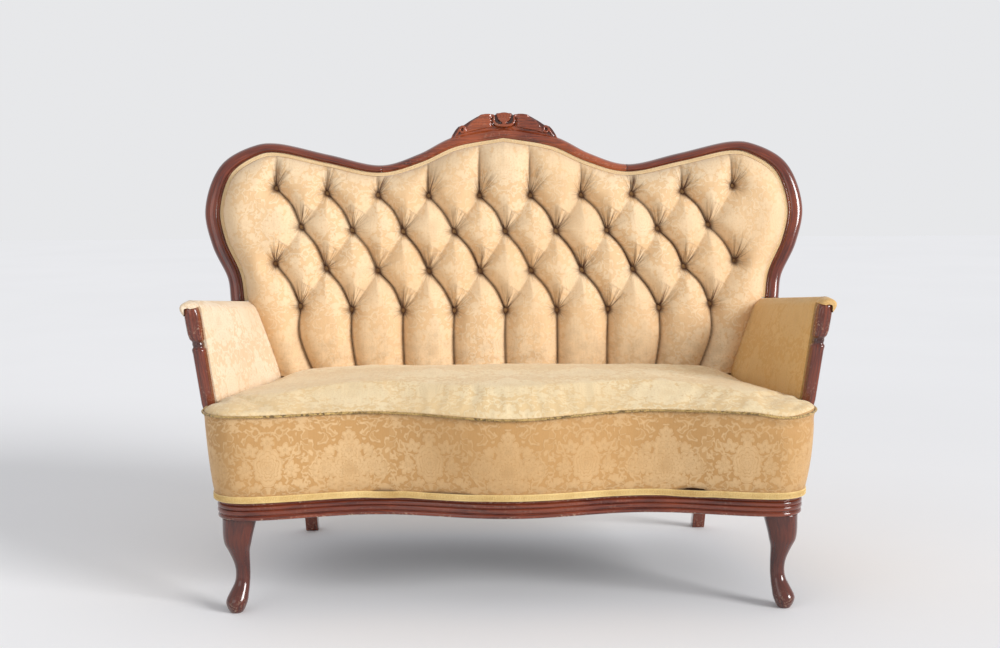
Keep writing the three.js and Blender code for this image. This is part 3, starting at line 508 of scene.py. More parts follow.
def damaskFigure(tree, vector):  # a traditional half-drop damask: palmettes and urns among mirrored leaf scrolls
    parts = tree.nodes.new("ShaderNodeSeparateXYZ")
    tree.links.new(vector, parts.inputs[0])
    wide, tall = damask["across"], damask["up"]
    across = Field(tree, parts.outputs[0]) * (1000 / wide)
    up = Field(tree, parts.outputs[1]) * (1000 / tall)
    column, row = across.use("FLOOR"), up.use("FLOOR")
    x = ((across - column - 0.5) * wide).use("ABSOLUTE")
    y = (up - row - 0.5) * tall
    other = (column + row).use("PINGPONG", 1.0)
    curl = noiseField(tree, vectorOf(tree, x, y, other * 90), 0.045, 2, 0.5, 0.6) - 0.5
    drift = noiseField(tree, vectorOf(tree, y, x, other * 70), 0.05, 2, 0.5, 0.6) - 0.5
    x2, y2 = (x + curl * 16).use("MAXIMUM", 0.0), y + drift * 16

    palmette = anyOf(x2, y2, damask["palmette"])
    urn = anyOf(x2, y2, damask["urn"])
    heart = bloom(x2, y2, *damask["heart"])
    lattice = ((x + y) * 1.3).use("SINE") * ((x - y) * 1.3).use("SINE")
    flower = palmette + (urn - palmette) * other
    curls = noiseField(tree, vectorOf(tree, x2, y2, other * 55 + 9.0), 0.042, 1.2, 0.4, 1.2)
    leaves = curls.smooth(0.4, 0.62) * 20 - 9.0
    leaves = leaves - (flower + 5.0).use("MAXIMUM", 0.0) * 2.5
    figure = flower.use("MAXIMUM", leaves)
    veins = ((figure * 0.7).use("SINE")).smooth(0.78, 0.99) * figure.smooth(1.5, 3.0)
    lines = veins.use("MAXIMUM", lattice.smooth(0.2, 0.5) * heart.smooth(-1, 1) * (other * -1 + 1))
    return figure.smooth(-0.6, 0.6), lines


clothLook = {
    "shade": paint(0.33, 0.17, 0.06),
    "dirtAndShade": paint(0.45, 0.34, 0.22),
    "roughness": 0.68,
    "sheen": 0.2,
}


def makeDamask(name, ground, figure, contrast=1.0, folds=False, dirtAndShade=0.0):
    look = clothLook
    material, tree, shader = newMaterial(name)
    vector = coordinates(tree, "cloth")
    motif, lines = damaskFigure(tree, vector)
    lines = lines * motif
    threads = noiseField(tree, coordinates(tree, "cloth", stretch=(900, 130, 1)), 1.0, 2, 0.5)
    weft = noiseField(tree, coordinates(tree, "cloth", stretch=(110, 1000, 1)), 1.0, 2, 0.5)
    ribs = noiseField(tree, coordinates(tree, "cloth", stretch=(240, 16, 1)), 1.0, 2, 0.5)
    cloud = noiseField(tree, vector, 6, 3, 0.55)
    worn = noiseField(tree, vector, 38, 4, 0.65)
    faded = noiseField(tree, vector, 3.2, 1, 0.5).smooth(0.38, 0.62) * 0.45 + 0.55
    share = (motif - lines * 0.8) * faded * contrast * (worn.smooth(0.25, 0.6) * 0.3 + 0.7)
    colour = blendColours(tree, share, paint(*ground), paint(*figure))
    weave = (threads - 0.5) * (motif * -0.5 + 1) + (weft - 0.5) * motif * 0.6
    light = weave * 0.16 + cloud * 0.12 + ribs * 0.14 + 0.87
    toned = tree.nodes.new("ShaderNodeVectorMath")
    toned.operation = "SCALE"
    tree.links.new(colour, toned.inputs[0])
    tree.links.new(light.socket, toned.inputs["Scale"])
    colour = toned.outputs[0]
    height = weave * 0.5 + ribs * 0.4 + motif * 0.5 - lines * 0.4
    # With folds, the pucker strokes are bumped, and the creases, button pits and strokes are darkened towards the shade
    # colour: painted shade.
    if folds:
        offset = tree.nodes.new("ShaderNodeAttribute")
        offset.attribute_name = "fromButton"
        split = tree.nodes.new("ShaderNodeSeparateXYZ")
        tree.links.new(offset.outputs["Vector"], split.inputs[0])
        right, above = Field(tree, split.outputs[0]), Field(tree, split.outputs[1])
        reach = (right * right + above * above).use("SQRT") + 0.5
        own = numberOf(tree, "buttonNumber")
        aside, upward = right / reach, above / reach
        strokes = noiseField(tree, vectorOf(tree, aside * 7, upward * 7, reach * 0.01 + own), 1.0, 1, 0.5)
        fine = noiseField(tree, vectorOf(tree, aside * 13, upward * 13, reach * 0.02 + own), 1.0, 1, 0.5)
        fan = numberOf(tree, "fan") * reach.smooth(5, 12)
        pleat = (strokes.smooth(0.52, 0.6) * 0.7 + fine.smooth(0.54, 0.62) * 0.7) * fan
        height = height - pleat * 3.6
        shade = (numberOf(tree, "creaseShade") + pleat * 0.8).use("MINIMUM", 0.96)
        colour = blendColours(tree, shade, colour, look["shade"])
    # Painted shade, broken into blotches like dirt: darker low on the back, towards the gimp and in a line under the
    # piping.
    if dirtAndShade:
        dirtAndShadeMask = numberOf(tree, "dirtAndShade") * worn.smooth(0.3, 0.75) * dirtAndShade
        colour = blendColours(tree, dirtAndShadeMask, colour, look["dirtAndShade"])
    tree.links.new(colour, shader.inputs["Base Color"])
    rough = motif * 0.1 + look["roughness"] - threads * 0.08
    tree.links.new(rough.socket, shader.inputs["Roughness"])
    shader.inputs["Sheen Weight"].default_value = look["sheen"]
    shader.inputs["Sheen Roughness"].default_value = 0.4
    shader.inputs["Specular IOR Level"].default_value = 0.35
    bumpFrom(tree, shader, height, 0.0006, 0.8)
    return material


def makeBraid(name, low, high, rubbed=None):
    material, tree, shader = newMaterial(name)
    vector = coordinates(tree)
    strands = noiseField(tree, vector, 700, 2, 0.6)
    tone = noiseField(tree, vector, 14, 3, 0.6)
    colour = blendColours(tree, (strands * 0.7 + tone * 0.6).smooth(0.35, 0.95), paint(*low), paint(*high))
    if rubbed:
        patches = noiseField(tree, vector, 9, 2, 0.5).smooth(0.38, 0.56)
        bare = noiseField(tree, vector, 130, 3, 0.7).smooth(0.47, 0.55) * patches
        colour = blendColours(tree, bare * 0.9, colour, paint(*rubbed))
    tree.links.new(colour, shader.inputs["Base Color"])
    shader.inputs["Roughness"].default_value = 0.6
    shader.inputs["Sheen Weight"].default_value = 0.25
    bumpFrom(tree, shader, strands, 0.0005, 0.7)
    return material


def makePlainCloth(name, darker, lighter):
    material, tree, shader = newMaterial(name)
    vector = coordinates(tree)
    fibres = noiseField(tree, vector, 420, 4, 0.7)
    cloud = noiseField(tree, vector, 9, 3, 0.6)
    colour = blendColours(tree, (fibres * 0.6 + cloud * 0.5).smooth(0.35, 0.8), paint(*darker), paint(*lighter))
    tree.links.new(colour, shader.inputs["Base Color"])
    shader.inputs["Roughness"].default_value = 0.92
    bumpFrom(tree, shader, fibres, 0.0004, 0.6)
    return material


railWood = makeWood("rail wood", "grain", warmth=0.45, wear=1.0)
frameWood = makeWood("frame wood", "grain", warmth=0.5, wear=0.4)
# The front legs are darkened as a whole: painted shade.
shadedLegWood = makeWood("leg wood", "grain", warmth=0.35, wear=0.4, depth=0.5)
crestWood = makeWood("crest wood", None, warmth=1.1, wear=0.35)
hiddenWood = makeWood("back rail wood", None, warmth=0.3, wear=0.3)
backDamask = makeDamask("back damask", (0.885, 0.74, 0.56), (0.935, 0.835, 0.69), 0.8, folds=True, dirtAndShade=0.32)
seatDamask = makeDamask("seat damask", (0.89, 0.77, 0.575), (0.94, 0.86, 0.70), 0.95, dirtAndShade=0.4)
borderDamask = makeDamask("border damask", (0.745, 0.57, 0.355), (0.835, 0.69, 0.50), 1.0, dirtAndShade=0.6)
# Two copies of the arm cloth: the left one painted lighter as lit, the right one painted darker and more golden as
# shaded.
litArmDamask = makeDamask("lit arm damask", (0.87, 0.765, 0.63), (0.93, 0.86, 0.76), 0.9)
shadedDamask = makeDamask("arm damask", (0.83, 0.655, 0.40), (0.885, 0.75, 0.53), 0.6)
coverDamask = makeDamask("outside back damask", (0.83, 0.67, 0.44), (0.90, 0.78, 0.58), 0.9)
goldBraid = makeBraid("gold braid", (0.76, 0.60, 0.32), (0.95, 0.84, 0.58))
creamBraid = makeBraid("cream braid", (0.88, 0.76, 0.57), (0.96, 0.87, 0.70))
pipingCloth = makeBraid("piping cloth", (0.50, 0.38, 0.18), (0.84, 0.70, 0.42), rubbed=(0.37, 0.28, 0.12))
frayedThread = makePlainCloth("frayed thread", (0.36, 0.27, 0.11), (0.66, 0.52, 0.26))
buttonCloth = makePlainCloth("button cloth", (0.45, 0.31, 0.17), (0.72, 0.56, 0.37))
darkLining = makePlainCloth("dark lining", (0.11, 0.105, 0.10), (0.20, 0.19, 0.18))
# A dark cloth for the strip behind the slits above the gimp: painted shadow.
slitShadowCloth = makePlainCloth("slit shadow cloth", (0.16, 0.09, 0.05), (0.30, 0.19, 0.11))
print("materials ready")


# The plan of the seat

waveLength = cornerX * 1.03


def frontY(x):
    return -(sofa["seatFront"] + sofa["waveHeight"] * np.cos(2 * np.pi * x / waveLength))


cornerY = float(frontY(cornerX)) + sofa["cornerRadius"]
postRailX = halfSeat - sofa["sideTaper"] - 20
stileSeatX = sofa["waistWidth"] / 2 - 71
setBack = sofa["backDepth"] + sofa["rearLegSetBack"]


def backPlane(z):
    return sofa["backDepth"] + (z - padBottom) * sofa["backLean"]


stileX = curveThrough([
    (0, sofa["rearFootWidth"] / 2),
    (legHeight * 0.5, sofa["rearFootWidth"] / 2 + 1),
    (mix(legHeight, railTop, 0.5), postRailX),
    (mix(railTop, padBottom, 0.45), mix(postRailX, stileSeatX, 0.34)),
    (padBottom, stileSeatX),
    (waistHeight, sofa["waistWidth"] / 2),
])
stileY = curveThrough([
    (0, setBack + sofa["rearRake"]),
    (legHeight * 0.5, setBack + sofa["rearRake"] * 0.52),
    (mix(legHeight, railTop, 0.5), setBack),
    (mix(railTop, padBottom, 0.45), sofa["backDepth"] + 30),
    (padBottom, sofa["backDepth"] + 2),
    (mix(padBottom, waistHeight, 0.5), backPlane(mix(padBottom, waistHeight, 0.5))),
    (waistHeight, backPlane(waistHeight)),
])


def stileHalf(z):
    return mix(15.5, sofa["frameHalfDepth"], smoothStep(legHeight, waistHeight, z))


sideEnd = float(stileY(mix(legHeight, railTop, 0.5))) - 15.5


def sideX(y):
    share = np.maximum((y - cornerY - 40) / (sideEnd - cornerY - 40), 0)
    return halfSeat - sofa["sideTaper"] * share ** 1.3


def planLine(sidePlaces, frontCount=150, cornerCount=16):  # x, y and the outward direction, from left round to right
    x = np.linspace(0, cornerX, frontCount, endpoint=False)
    slope = sofa["waveHeight"] * (2 * np.pi / waveLength) * np.sin(2 * np.pi * x / waveLength)
    length = np.hypot(slope, 1)
    front = np.column_stack([x, frontY(x), slope / length, -1 / length])
    turn = np.linspace(0, np.pi / 2, cornerCount)
    out = np.column_stack([np.sin(turn), -np.cos(turn)])
    corner = np.column_stack([out * sofa["cornerRadius"] + [cornerX, cornerY], out])
    y = np.asarray(sidePlaces, float)
    slope = (sideX(y + 1) - sideX(y - 1)) / 2
    length = np.hypot(slope, 1)
    side = np.column_stack([sideX(y), y, 1 / length, -slope / length])
    right = np.vstack([front, corner, side])
    return np.vstack([(right * [-1, 1, -1, 1])[:0:-1], right])


def flareAt(z):
    share = np.clip((z - railTop) / sofa["borderHeight"], 0, 1)
    return mix(sofa["flareStart"], sofa["borderFlare"], share ** 0.65)


def edgeHeight(x):
    middle = sofa["edgeDrop"] * np.exp(-((x / (halfSeat * 0.26)) ** 2))
    corner = sofa["cornerSag"] * np.exp(-(((x - cornerX - 14) / (sofa["cornerRadius"] * 0.8)) ** 2))
    return seatEdge - middle - corner


# Seat rails: two reeds between thin lips, with the lower lip chipped

railReeds = [
    (-44, 0), (-5, 0), (-1.6, 0.015), (0.3, 0.06), (0.5, 0.13), (-0.4, 0.2), (-2.2, 0.235), (-2.2, 0.26), (-0.8, 0.29),
    (0.9, 0.34), (1.6, 0.42), (1.2, 0.5), (-0.4, 0.545), (-1.6, 0.565), (-0.4, 0.585), (1.2, 0.63), (1.6, 0.7),
    (1.0, 0.77), (-0.8, 0.82), (-2.2, 0.845), (-2.2, 0.87), (-0.3, 0.89), (0.4, 0.93), (0, 0.97), (-2, 1), (-44, 1),
]


def railRings(line, section):
    return [[(x + ox * out, y + oy * out, legHeight + rise * (railTop - legHeight)) for out, rise in section]
            for x, y, ox, oy in line]


def softSection():
    face = pathThrough(railReeds[1:-1], perSpan=3)
    face[:, 0] += sofa["railForward"] * smoothStep(-5, -2.5, face[:, 0])
    return np.vstack([railReeds[:1], face, railReeds[-1:]])


def railEdges(count, section):  # where the moulding's edges are rubbed and chipped
    rise = np.tile(section[:, 1], count)
    out = np.tile(section[:, 0], count)
    edge = np.where(out > -10, np.exp(-(rise / 0.1) ** 2) + 0.5 * np.exp(-((rise - 0.93) / 0.05) ** 2), 0)
    return edge + 0.08 * (out > sofa["railForward"] + 1.2)


def makeRails():
    section = softSection()
    line = planLine([])
    front = addLoft("seatRailFront", railRings(line, section), railWood)
    addNumbers(front, "edge", railEdges(len(line), section))
    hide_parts("seat_rail_front")
    line = planLine(np.linspace(cornerY + fit, sideEnd - 1, 60))[-60:]
    line[:, 2:] = [1, 0]
    addPair("seatRail", "seat_rail", railRings(line, section), [railWood] * 2, edge=railEdges(len(line), section))


makeRails()
print("rails ready")


# Front legs: cabriole, with a knee and a pad foot

leg = {"kneeSize": 36, "ankleSize": 15.5, "toeSize": 22.5, "turns": 40, "levels": 60}


def makeLegs():
    knee, ankle, toe = leg["kneeSize"], leg["ankleSize"], leg["toeSize"]
    size = curveThrough([(0, toe * 0.55), (0.045, toe * 0.8), (0.12, toe), (0.205, toe * 0.88), (0.31, ankle),
                         (0.465, ankle), (0.625, mix(ankle, knee, 0.27)), (0.73, mix(ankle, knee, 0.6)), (1, knee)])
    reach = curveThrough([(0, 26), (0.12, 25), (0.31, 15), (0.465, 14.5), (0.73, 22), (1, 17)])
    forward = curveThrough([(0, 31), (0.12, 29), (0.31, 15), (0.465, 13), (0.73, 19), (1, 15)])
    turn = np.linspace(0, 2 * np.pi, leg["turns"], endpoint=False)
    rings, heights = [], np.concatenate([[0, 0.01, 0.022], np.linspace(0.04, 1, leg["levels"])])
    for share in heights:
        power = mix(1, 0.86, share)
        radius = size(share) * (0.93 if share == 0 else 1)
        across, along = squared(turn, power)
        rings.append(np.column_stack([
            cornerX + reach(share) + radius * across,
            cornerY - forward(share) + radius * along,
            np.full(len(turn), min(share * legHeight, legHeight - fit)),
        ]))
    edge = np.exp(-(heights / 0.14) ** 2) * 0.9 + 0.25 * np.exp(-((heights - 0.3) / 0.1) ** 2)
    addPair("frontLeg", "front_leg", rings, [shadedLegWood] * 2, edge=np.repeat(edge, len(turn)))


makeLegs()
print("front legs ready")


# Back posts: square rear legs that round off towards the waist

def makeBackPosts():
    heights = np.concatenate([[0, 1.5], np.linspace(4, waistHeight, 70)])
    rings = []
    for z in heights:
        half = float(stileHalf(z)) * (0.95 if z == 0 else 1)
        bevel = mix(3, 9, float(smoothStep(legHeight, waistHeight, z)))
        ring = []
        for quarter in range(4):
            for turn in np.linspace(0, np.pi / 2, 6) + quarter * np.pi / 2:
                corner = np.array([1, 1]) if quarter == 0 else np.array([(-1, 1), (-1, -1), (1, -1)][quarter - 1])
                place = corner * (half - bevel) + bevel * np.array([np.cos(turn), np.sin(turn)])
                ring.append((float(stileX(z)) + place[0], float(stileY(z)) + place[1], z))
        rings.append(ring)
    edge = np.repeat(np.exp(-heights / 25) * 0.8 + 0.15, len(rings[0]))
    addPair("backPost", "back_post", rings, [frameWood] * 2, edge=edge)


makeBackPosts()
print("back posts ready")


# The frame of the back: x, width and height of the wood from the waist to the middle of the crest

waistX, earX = sofa["waistWidth"] / 2, sofa["earWidth"] / 2
earTopX, valleyX = sofa["earTopWidth"] / 2, sofa["valleyWidth"] / 2
earSide, earTop = sofa["earSideHeight"], sofa["earTopHeight"]
valley, crest = sofa["valleyHeight"], sofa["crestHeight"]
framePlaces = np.array([
    (waistX, 35, waistHeight),
    (mix(waistX, earX, 0.14), 34, mix(waistHeight, earSide, 0.26)),
    (mix(waistX, earX, 0.74), 36, mix(waistHeight, earSide, 0.625)),
    (earX, 38, earSide),
    (mix(earTopX, earX, 0.785), 34, mix(earSide, earTop, 0.655)),
    (mix(earTopX, earX, 0.3), 26, mix(earSide, earTop, 0.96)),
    (earTopX, 22, earTop),
    (mix(valleyX, earTopX, 0.5), 20, mix(valley, earTop, 0.475)),
    (valleyX, 18, valley),
    (valleyX * 0.69, 21, mix(valley, crest, 0.29)),
    (valleyX * 0.41, 25, mix(valley, crest, 0.73)),
    (0, 28, crest),
])
valleyAt = 8 / 11


def framePoint(at):  # a centripetal curve through the frame's places
    places = np.vstack([2 * framePlaces[0] - framePlaces[1], framePlaces, 2 * framePlaces[-1] - framePlaces[-2]])
    spans = len(framePlaces) - 1
    i = min(int(at * spans), spans - 1)
    t = at * spans - i
    p = places[i:i + 4]
    gap = [np.sum((p[k + 1] - p[k]) ** 2) ** 0.25 for k in range(3)]
    start = (p[1] - p[0]) / gap[0] - (p[2] - p[0]) / (gap[0] + gap[1]) + (p[2] - p[1]) / gap[1]
    end = (p[2] - p[1]) / gap[1] - (p[3] - p[1]) / (gap[1] + gap[2]) + (p[3] - p[2]) / gap[2]
    start, end = start * gap[1], end * gap[1]
    return (p[1] + start * t + (3 * (p[2] - p[1]) - 2 * start - end) * t ** 2
            + (2 * (p[1] - p[2]) + start + end) * t ** 3)


def station(at):  # the wood's middle, its width and the direction away from the upholstery
    x, width, z = framePoint(at)
    ahead, behind = framePoint(min(at + 0.004, 1)), framePoint(max(at - 0.004, 0))
    along = np.array([ahead[0] - behind[0], ahead[2] - behind[2]])
    along /= np.linalg.norm(along)
    if at == 0:
        along = np.array([0, 1])
    if at == 1:
        along = np.array([-1, 0])
    return x, z, width, along[1], -along[0]


def beside(spot, out, behind):
    x, z, width, outX, outZ = spot
    z = z + outZ * (out - width / 2)
    return x + outX * (out - width / 2), backPlane(z) + behind, z


frameSection = pathThrough([
    (0, -11.5), (0.02, -14.5), (0.07, -16.2), (0.12, -14.9), (0.17, -16.6), (0.3, -18.8), (0.45, -19.2), (0.62, -18.2),
    (0.78, -15.4), (0.9, -10.8), (0.98, -4.4), (1, 2), (0.99, 8.5), (0.94, 13.6), (0.85, 16.6),
], perSpan=3)


def frameRings(stops):
    rings = []
    for at in stops:
        spot = station(at)
        width = spot[2]
        ring = [beside(spot, -9, -10), beside(spot, 0, -10)]
        ring += [beside(spot, out * width, behind) for out, behind in frameSection]
        ring += [beside(spot, 0.8 * width, 17), beside(spot, 0, 17), beside(spot, -9, 10)]
        rings.append(ring)
    return rings


def wholeTop(rings):  # right half, then its mirror image from the middle on
    rings = np.array(rings)
    return np.vstack([rings, otherSide(rings[:-1])[::-1]])


def makeEarRails():
    stops = np.linspace(0, valleyAt, 190)
    rings = frameRings(stops)
    edge = np.zeros((len(rings), len(rings[0])))
    edge[:, 3:9] = 0.4
    edge[:, -16:-8] = 0.5
    addPair("earRail", "ear_rail", rings, [frameWood] * 2, edge=edge.ravel())


# Carving: strokes are tapered rods on the face of the crest, fused with the rail by a fine remesh

carving = {
    "height": 52,
    "halfWidth": 128,
    "shellHalfWidth": 22,
    "voxel": 1.5,
    # strokes: across, share of the carving's height and how proud they stand
    "scroll": [(-1.25, 1.0, 14), (-1.1, 0.75, 18), (-1.12, 0.42, 19), (-0.8, 0.12, 20.5), (0, -0.02, 21),
               (0.8, 0.12, 20.5), (1.12, 0.42, 19), (1.1, 0.75, 18), (1.25, 1.0, 14)],
    "brow": [(-0.85, 0.93, 15.5), (0, 0.98, 15.5), (0.85, 0.93, 15.5)],
    "flute": [(0.3, 0.25, 15), (0.75, 0.55, 18.5), (1.0, 0.86, 17)],
    "fluteLeans": [-0.7, -0.36, 0, 0.36, 0.7],
    "boss": [(-5, 0.24, 18), (0, 0.24, 18), (5, 0.24, 18)],
    "curl": [(121, 0.0, 12), (113, 0.5, 15), (104, 0.95, 15), (97, 0.7, 15.5), (97, 0.3, 15.5), (103, 0.2, 15.5),
             (106, 0.5, 15.5)],
    # long leaves: share of the height beside the shell and at the far end, and where that end is
    "leaves": [(0.95, 0.93, 64), (0.74, 0.8, 84), (0.5, 0.6, 92), (0.27, 0.34, 96), (0.06, 0.08, 100)],
}


def carvedRod(places, thick, flat=0.8, sides=10):  # places are x, z and how proud of the leaning plane
    path = pathThrough(places, perSpan=7)
    size = curveThrough(thick)
    at = np.linspace(0, 1, len(path))
    along = np.gradient(path, axis=0)
    rings = []
    for (x, z, proud), (dx, dz, _), share in zip(path, along, at):
        side = np.array([dz, -dx]) / max(math.hypot(dx, dz), 1e-6)
        ring = []
        for turn in np.linspace(0, 2 * np.pi, sides, endpoint=False):
            wide = float(size(share)) * math.cos(turn)
            z2 = z + side[1] * wide
            ring.append((x + side[0] * wide, backPlane(z2) - proud + flat * float(size(share)) * math.sin(turn), z2))
        rings.append(ring)
    return rings


def crestPlateOutline():
    base, w, h, s = crest - 6, carving["halfWidth"], carving["height"], carving["shellHalfWidth"]
    right = [(s * 0.8, base + h), (s, base + h * 0.9), (w * 0.22, base + h * 0.95), (w * 0.3, base + h * 0.91),
             (w * 0.42, base + h * 0.93), (w * 0.52, base + h * 0.82), (w * 0.66, base + h * 0.62),
             (w * 0.76, base + h * 0.45), (w * 0.79, base + h * 0.43), (w * 0.87, base + h * 0.37),
             (w * 0.93, base + h * 0.2), (w * 0.99, base - 2), (w * 1.06, base - 26), (w * 0.6, base - 12),
             (0, base - 6)]
    right = np.array(right)
    return np.vstack([right, (right[:-1] * [-1, 1])[::-1]])


carvingLow = curveThrough([(0, 16), (50, 10), (90, 0), (128, -15)])
carvingHigh = curveThrough([(0, 45), (26, 43), (54, 42), (66, 36), (84, 25), (97, 17), (112, 8), (127, -14)])


def carvedPlace(x, share, proud):  # a place on the carving, between the frame's top edge and the carving's outline
    return x, crest + mix(float(carvingLow(abs(x))), float(carvingHigh(abs(x))), share), proud


def carvedStroke(places, widen, thick):
    return carvedRod([carvedPlace(widen * x, share, proud) for x, share, proud in places], thick)


def crestParts():
    s = carving["shellHalfWidth"]
    parts = [wholeTop(frameRings(np.linspace(valleyAt, 1, 70)))]
    parts.append([[(x, backPlane(z) + behind, z) for x, z in crestPlateOutline()] for behind in (-12, 12)])
    parts.append(carvedStroke(carving["scroll"], s, [(0, 2.2), (0.5, 3.6), (1, 2.2)]))
    parts.append(carvedStroke(carving["brow"], s, [(0, 2.6), (0.5, 3.6), (1, 2.6)]))
    for lean in carving["fluteLeans"]:
        parts.append(carvedStroke(carving["flute"], s * lean, [(0, 1.5), (0.6, 3.1), (1, 2.4)]))
    parts.append(carvedStroke(carving["boss"], 1, [(0, 2.5), (0.5, 3.8), (1, 2.5)]))
    for side in (-1, 1):
        for near, far, end in carving["leaves"]:
            leaf = [(27, near, 13), (40, mix(near, far, 0.25), 16), (mix(40, end, 0.6), mix(near, far, 0.8), 15.5),
                    (end, far, 12.5)]
            parts.append(carvedStroke(leaf, side, [(0, 1.6), (0.3, 3.3), (0.75, 3.0), (1, 1.2)]))
        parts.append(carvedStroke(carving["curl"], side, [(0, 1.4), (0.4, 3.4), (0.8, 2.8), (1, 2.2)]))
    return parts


def makeCrest():
    points, faces = [], []
    for part in crestParts():
        more, sides, _ = loft(part)
        faces += [[index + len(points) for index in face] for face in sides]
        points += more.tolist()
    piece = addMesh("crestRail", points, faces)
    remesh = piece.modifiers.new("fuse", "REMESH")
    remesh.mode, remesh.voxel_size = "VOXEL", carving["voxel"] * mm
    smoothing = piece.modifiers.new("soften", "SMOOTH")
    smoothing.factor, smoothing.iterations = 0.5, 3
    fused = bpy.data.meshes.new_from_object(piece.evaluated_get(bpy.context.evaluated_depsgraph_get()))
    piece.modifiers.clear()
    piece.data = fused
    fused.shade_smooth()
    fused.materials.clear()
    fused.materials.append(crestWood)
    places = np.empty(len(fused.vertices) * 3, np.float32)
    fused.vertices.foreach_get("co", places)
    places = places.reshape(-1, 3) / mm - shift
    proud = backPlane(places[:, 2]) - places[:, 1]
    addNumbers(piece, "edge", smoothStep(17, 21, proud) * 0.8)
    # Painted shade on the carving's ground between the strokes, below where they stand proud.
    carved = smoothStep(-2, 3, places[:, 2] - crest - carvingLow(np.abs(places[:, 0]))) * (np.abs(places[:, 0]) < 124)
    addNumbers(piece, "hollow", smoothStep(14.8, 12.4, proud) * carved * (proud > 0))
    finishPiece(piece, "wood", "crest_rail")


makeEarRails()
makeCrest()
print("back frame ready")


# Arms: inner and outer faces, and the falling top

arm = {
    "height": 217,
    "fall": 42,
    "thickness": 27,
    "rollOut": 12,
    "flare": 0.138,
    "swell": 7,
    "postWidth": 30,
    "postDepth": 34,
    "postPlace": 92,
    "postGap": 4,
    "ringHeight": 128,
    "reeds": 8,
    "reedDepth": 0.035,
    "knuckleOut": 2.2,
}
postMiddle = cornerY + arm["postPlace"] / 1.5
armFrontY = postMiddle + arm["postDepth"] / 2 + fit
armRearY = sofa["backDepth"] - 50


def armInnerAbove(y, z):
    front = halfSeat + 19 + (z - seatEdge) * arm["flare"]
    rear = mix(stileSeatX, waistX, (z - padBottom) / (waistHeight - padBottom)) - 41
    return mix(front, rear, (y - armFrontY) / (armRearY - armFrontY))


def armInner(y, z):
    below = mix(sideX(y) - 28, armInnerAbove(y, seatEdge), (z - railTop) / sofa["borderHeight"])
    return np.where(z >= seatEdge, armInnerAbove(y, z), below)


def armOuter(y, z):
    along = (y - armFrontY) / (armRearY - armFrontY)
    top = armInnerAbove(y, np.maximum(z, seatEdge)) + arm["thickness"] + along * 20
    share = np.clip((z - railTop) / sofa["borderHeight"], 0, 1)
    return np.where(z >= seatEdge, top, mix(sideX(y) + sofa["flareStart"], top, share ** 0.9))


def armTop(y):
    return seatEdge + arm["height"] - arm["fall"] * (y - armFrontY) / (armRearY - armFrontY)


def armPlace(face, along, z, out):  # on one face of the arm, at a share of the way from post to post
    y = mix(armFrontY, float(stileY(z)) - float(stileHalf(z)) - fit, along)
    return float(face(y, z)) + out, y, z


def armRing(along):
    top = float(armTop(mix(armFrontY, armRearY, along)))
    low = railTop + fit
    swell = arm["swell"] * math.sin(math.pi * min(max(along, 0), 1)) ** 0.6
    roll = arm["rollOut"]
    inner = [armPlace(armInner, along, z, -swell * float(smoothStep(seatEdge - 20, seatEdge + 40, z)))
             for z in np.linspace(low, top - 26, 22)]
    crown = [(armInner, 13, 1 - swell * 0.6), (armInner, 3, 9), (armInner, -1, 19), (armOuter, 1, 2),
             (armOuter, 7, roll - 1), (armOuter, 17, roll + 1), (armOuter, 28, roll - 4), (armOuter, 36, 1)]
    crown = pathThrough([inner[-1]] + [armPlace(face, along, top - drop, out) for face, drop, out in crown], perSpan=5)
    outer = [armPlace(armOuter, along, z, 3 * math.sin(math.pi * (z - low) / (top - low)))
             for z in np.linspace(top - 44, low, 22)]
    return np.array(inner[:-1] + crown.tolist() + outer)


def makeArms():
    rings = []
    for along in np.concatenate([[-0.004, 0.0], np.linspace(0.006, 1, 70)]):
        ring = armRing(along)
        if along < 0:
            middle = ring.mean(0)
            ring = middle + (ring - middle) * 0.985
        rings.append(ring)
    # The right arm gets the painted shade copy and the left arm the painted light copy.
    for piece in addPair("armPad", "arm_pad", rings, [shadedDamask, litArmDamask], "cloth", "cloth"):
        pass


def makeArmPosts():
    top = seatEdge + arm["height"] - arm["postGap"]
    ring = seatEdge + arm["ringHeight"]
    half, depth = arm["postWidth"] / 2, arm["postDepth"] / 2 - fit
    levels = curveThrough([
        (railTop + fit, 0.86), (mix(railTop, seatEdge, 0.5), 0.9), (seatEdge, 0.94), (ring - 22, 0.97),
        (ring - 12, 1.0), (ring - 7, 0.8), (ring - 1, 0.84), (ring + 5, 0.8), (ring + 10, 1.02), (ring + 34, 1.12),
        (top - 24, 1.12), (top - 10, 0.98), (top - 3, 0.66), (top, 0.2),
    ])
    heights = np.concatenate([np.linspace(railTop + fit, ring - 24, 26), np.linspace(ring - 22, top, 64)])
    turn = np.linspace(0, 2 * np.pi, 44, endpoint=False)
    squareAcross, squareAlong = squared(turn, 0.8)
    rings = []
    for z in heights:
        share = float(levels(z))
        onShaft = smoothStep(ring - 14, ring - 30, z)
        onKnuckle = smoothStep(ring + 12, ring + 20, z) * smoothStep(top - 8, top - 22, z)
        reeds = 1 + arm["reedDepth"] * np.cos(turn * arm["reeds"]) * (onShaft + onKnuckle)
        middleX = float(armInner(armFrontY, z)) + half + fit + arm["knuckleOut"] * float(smoothStep(ring, ring + 24, z))
        rings.append(np.column_stack([middleX + half * share * squareAcross * reeds,
                                      postMiddle + depth * share * squareAlong * reeds * 0.98,
                                      np.full(len(turn), z)]))
    edge = np.repeat(0.25 + 0.7 * np.exp(-((heights - ring - 34) / 18) ** 2), len(turn))
    # Painted shade in the recessed neck below the knuckle.
    hollow = np.repeat(np.exp(-((heights - ring) / 7.5) ** 4), len(turn))
    addPair("armPost", "arm_post", rings, [frameWood] * 2, edge=edge, hollow=hollow)


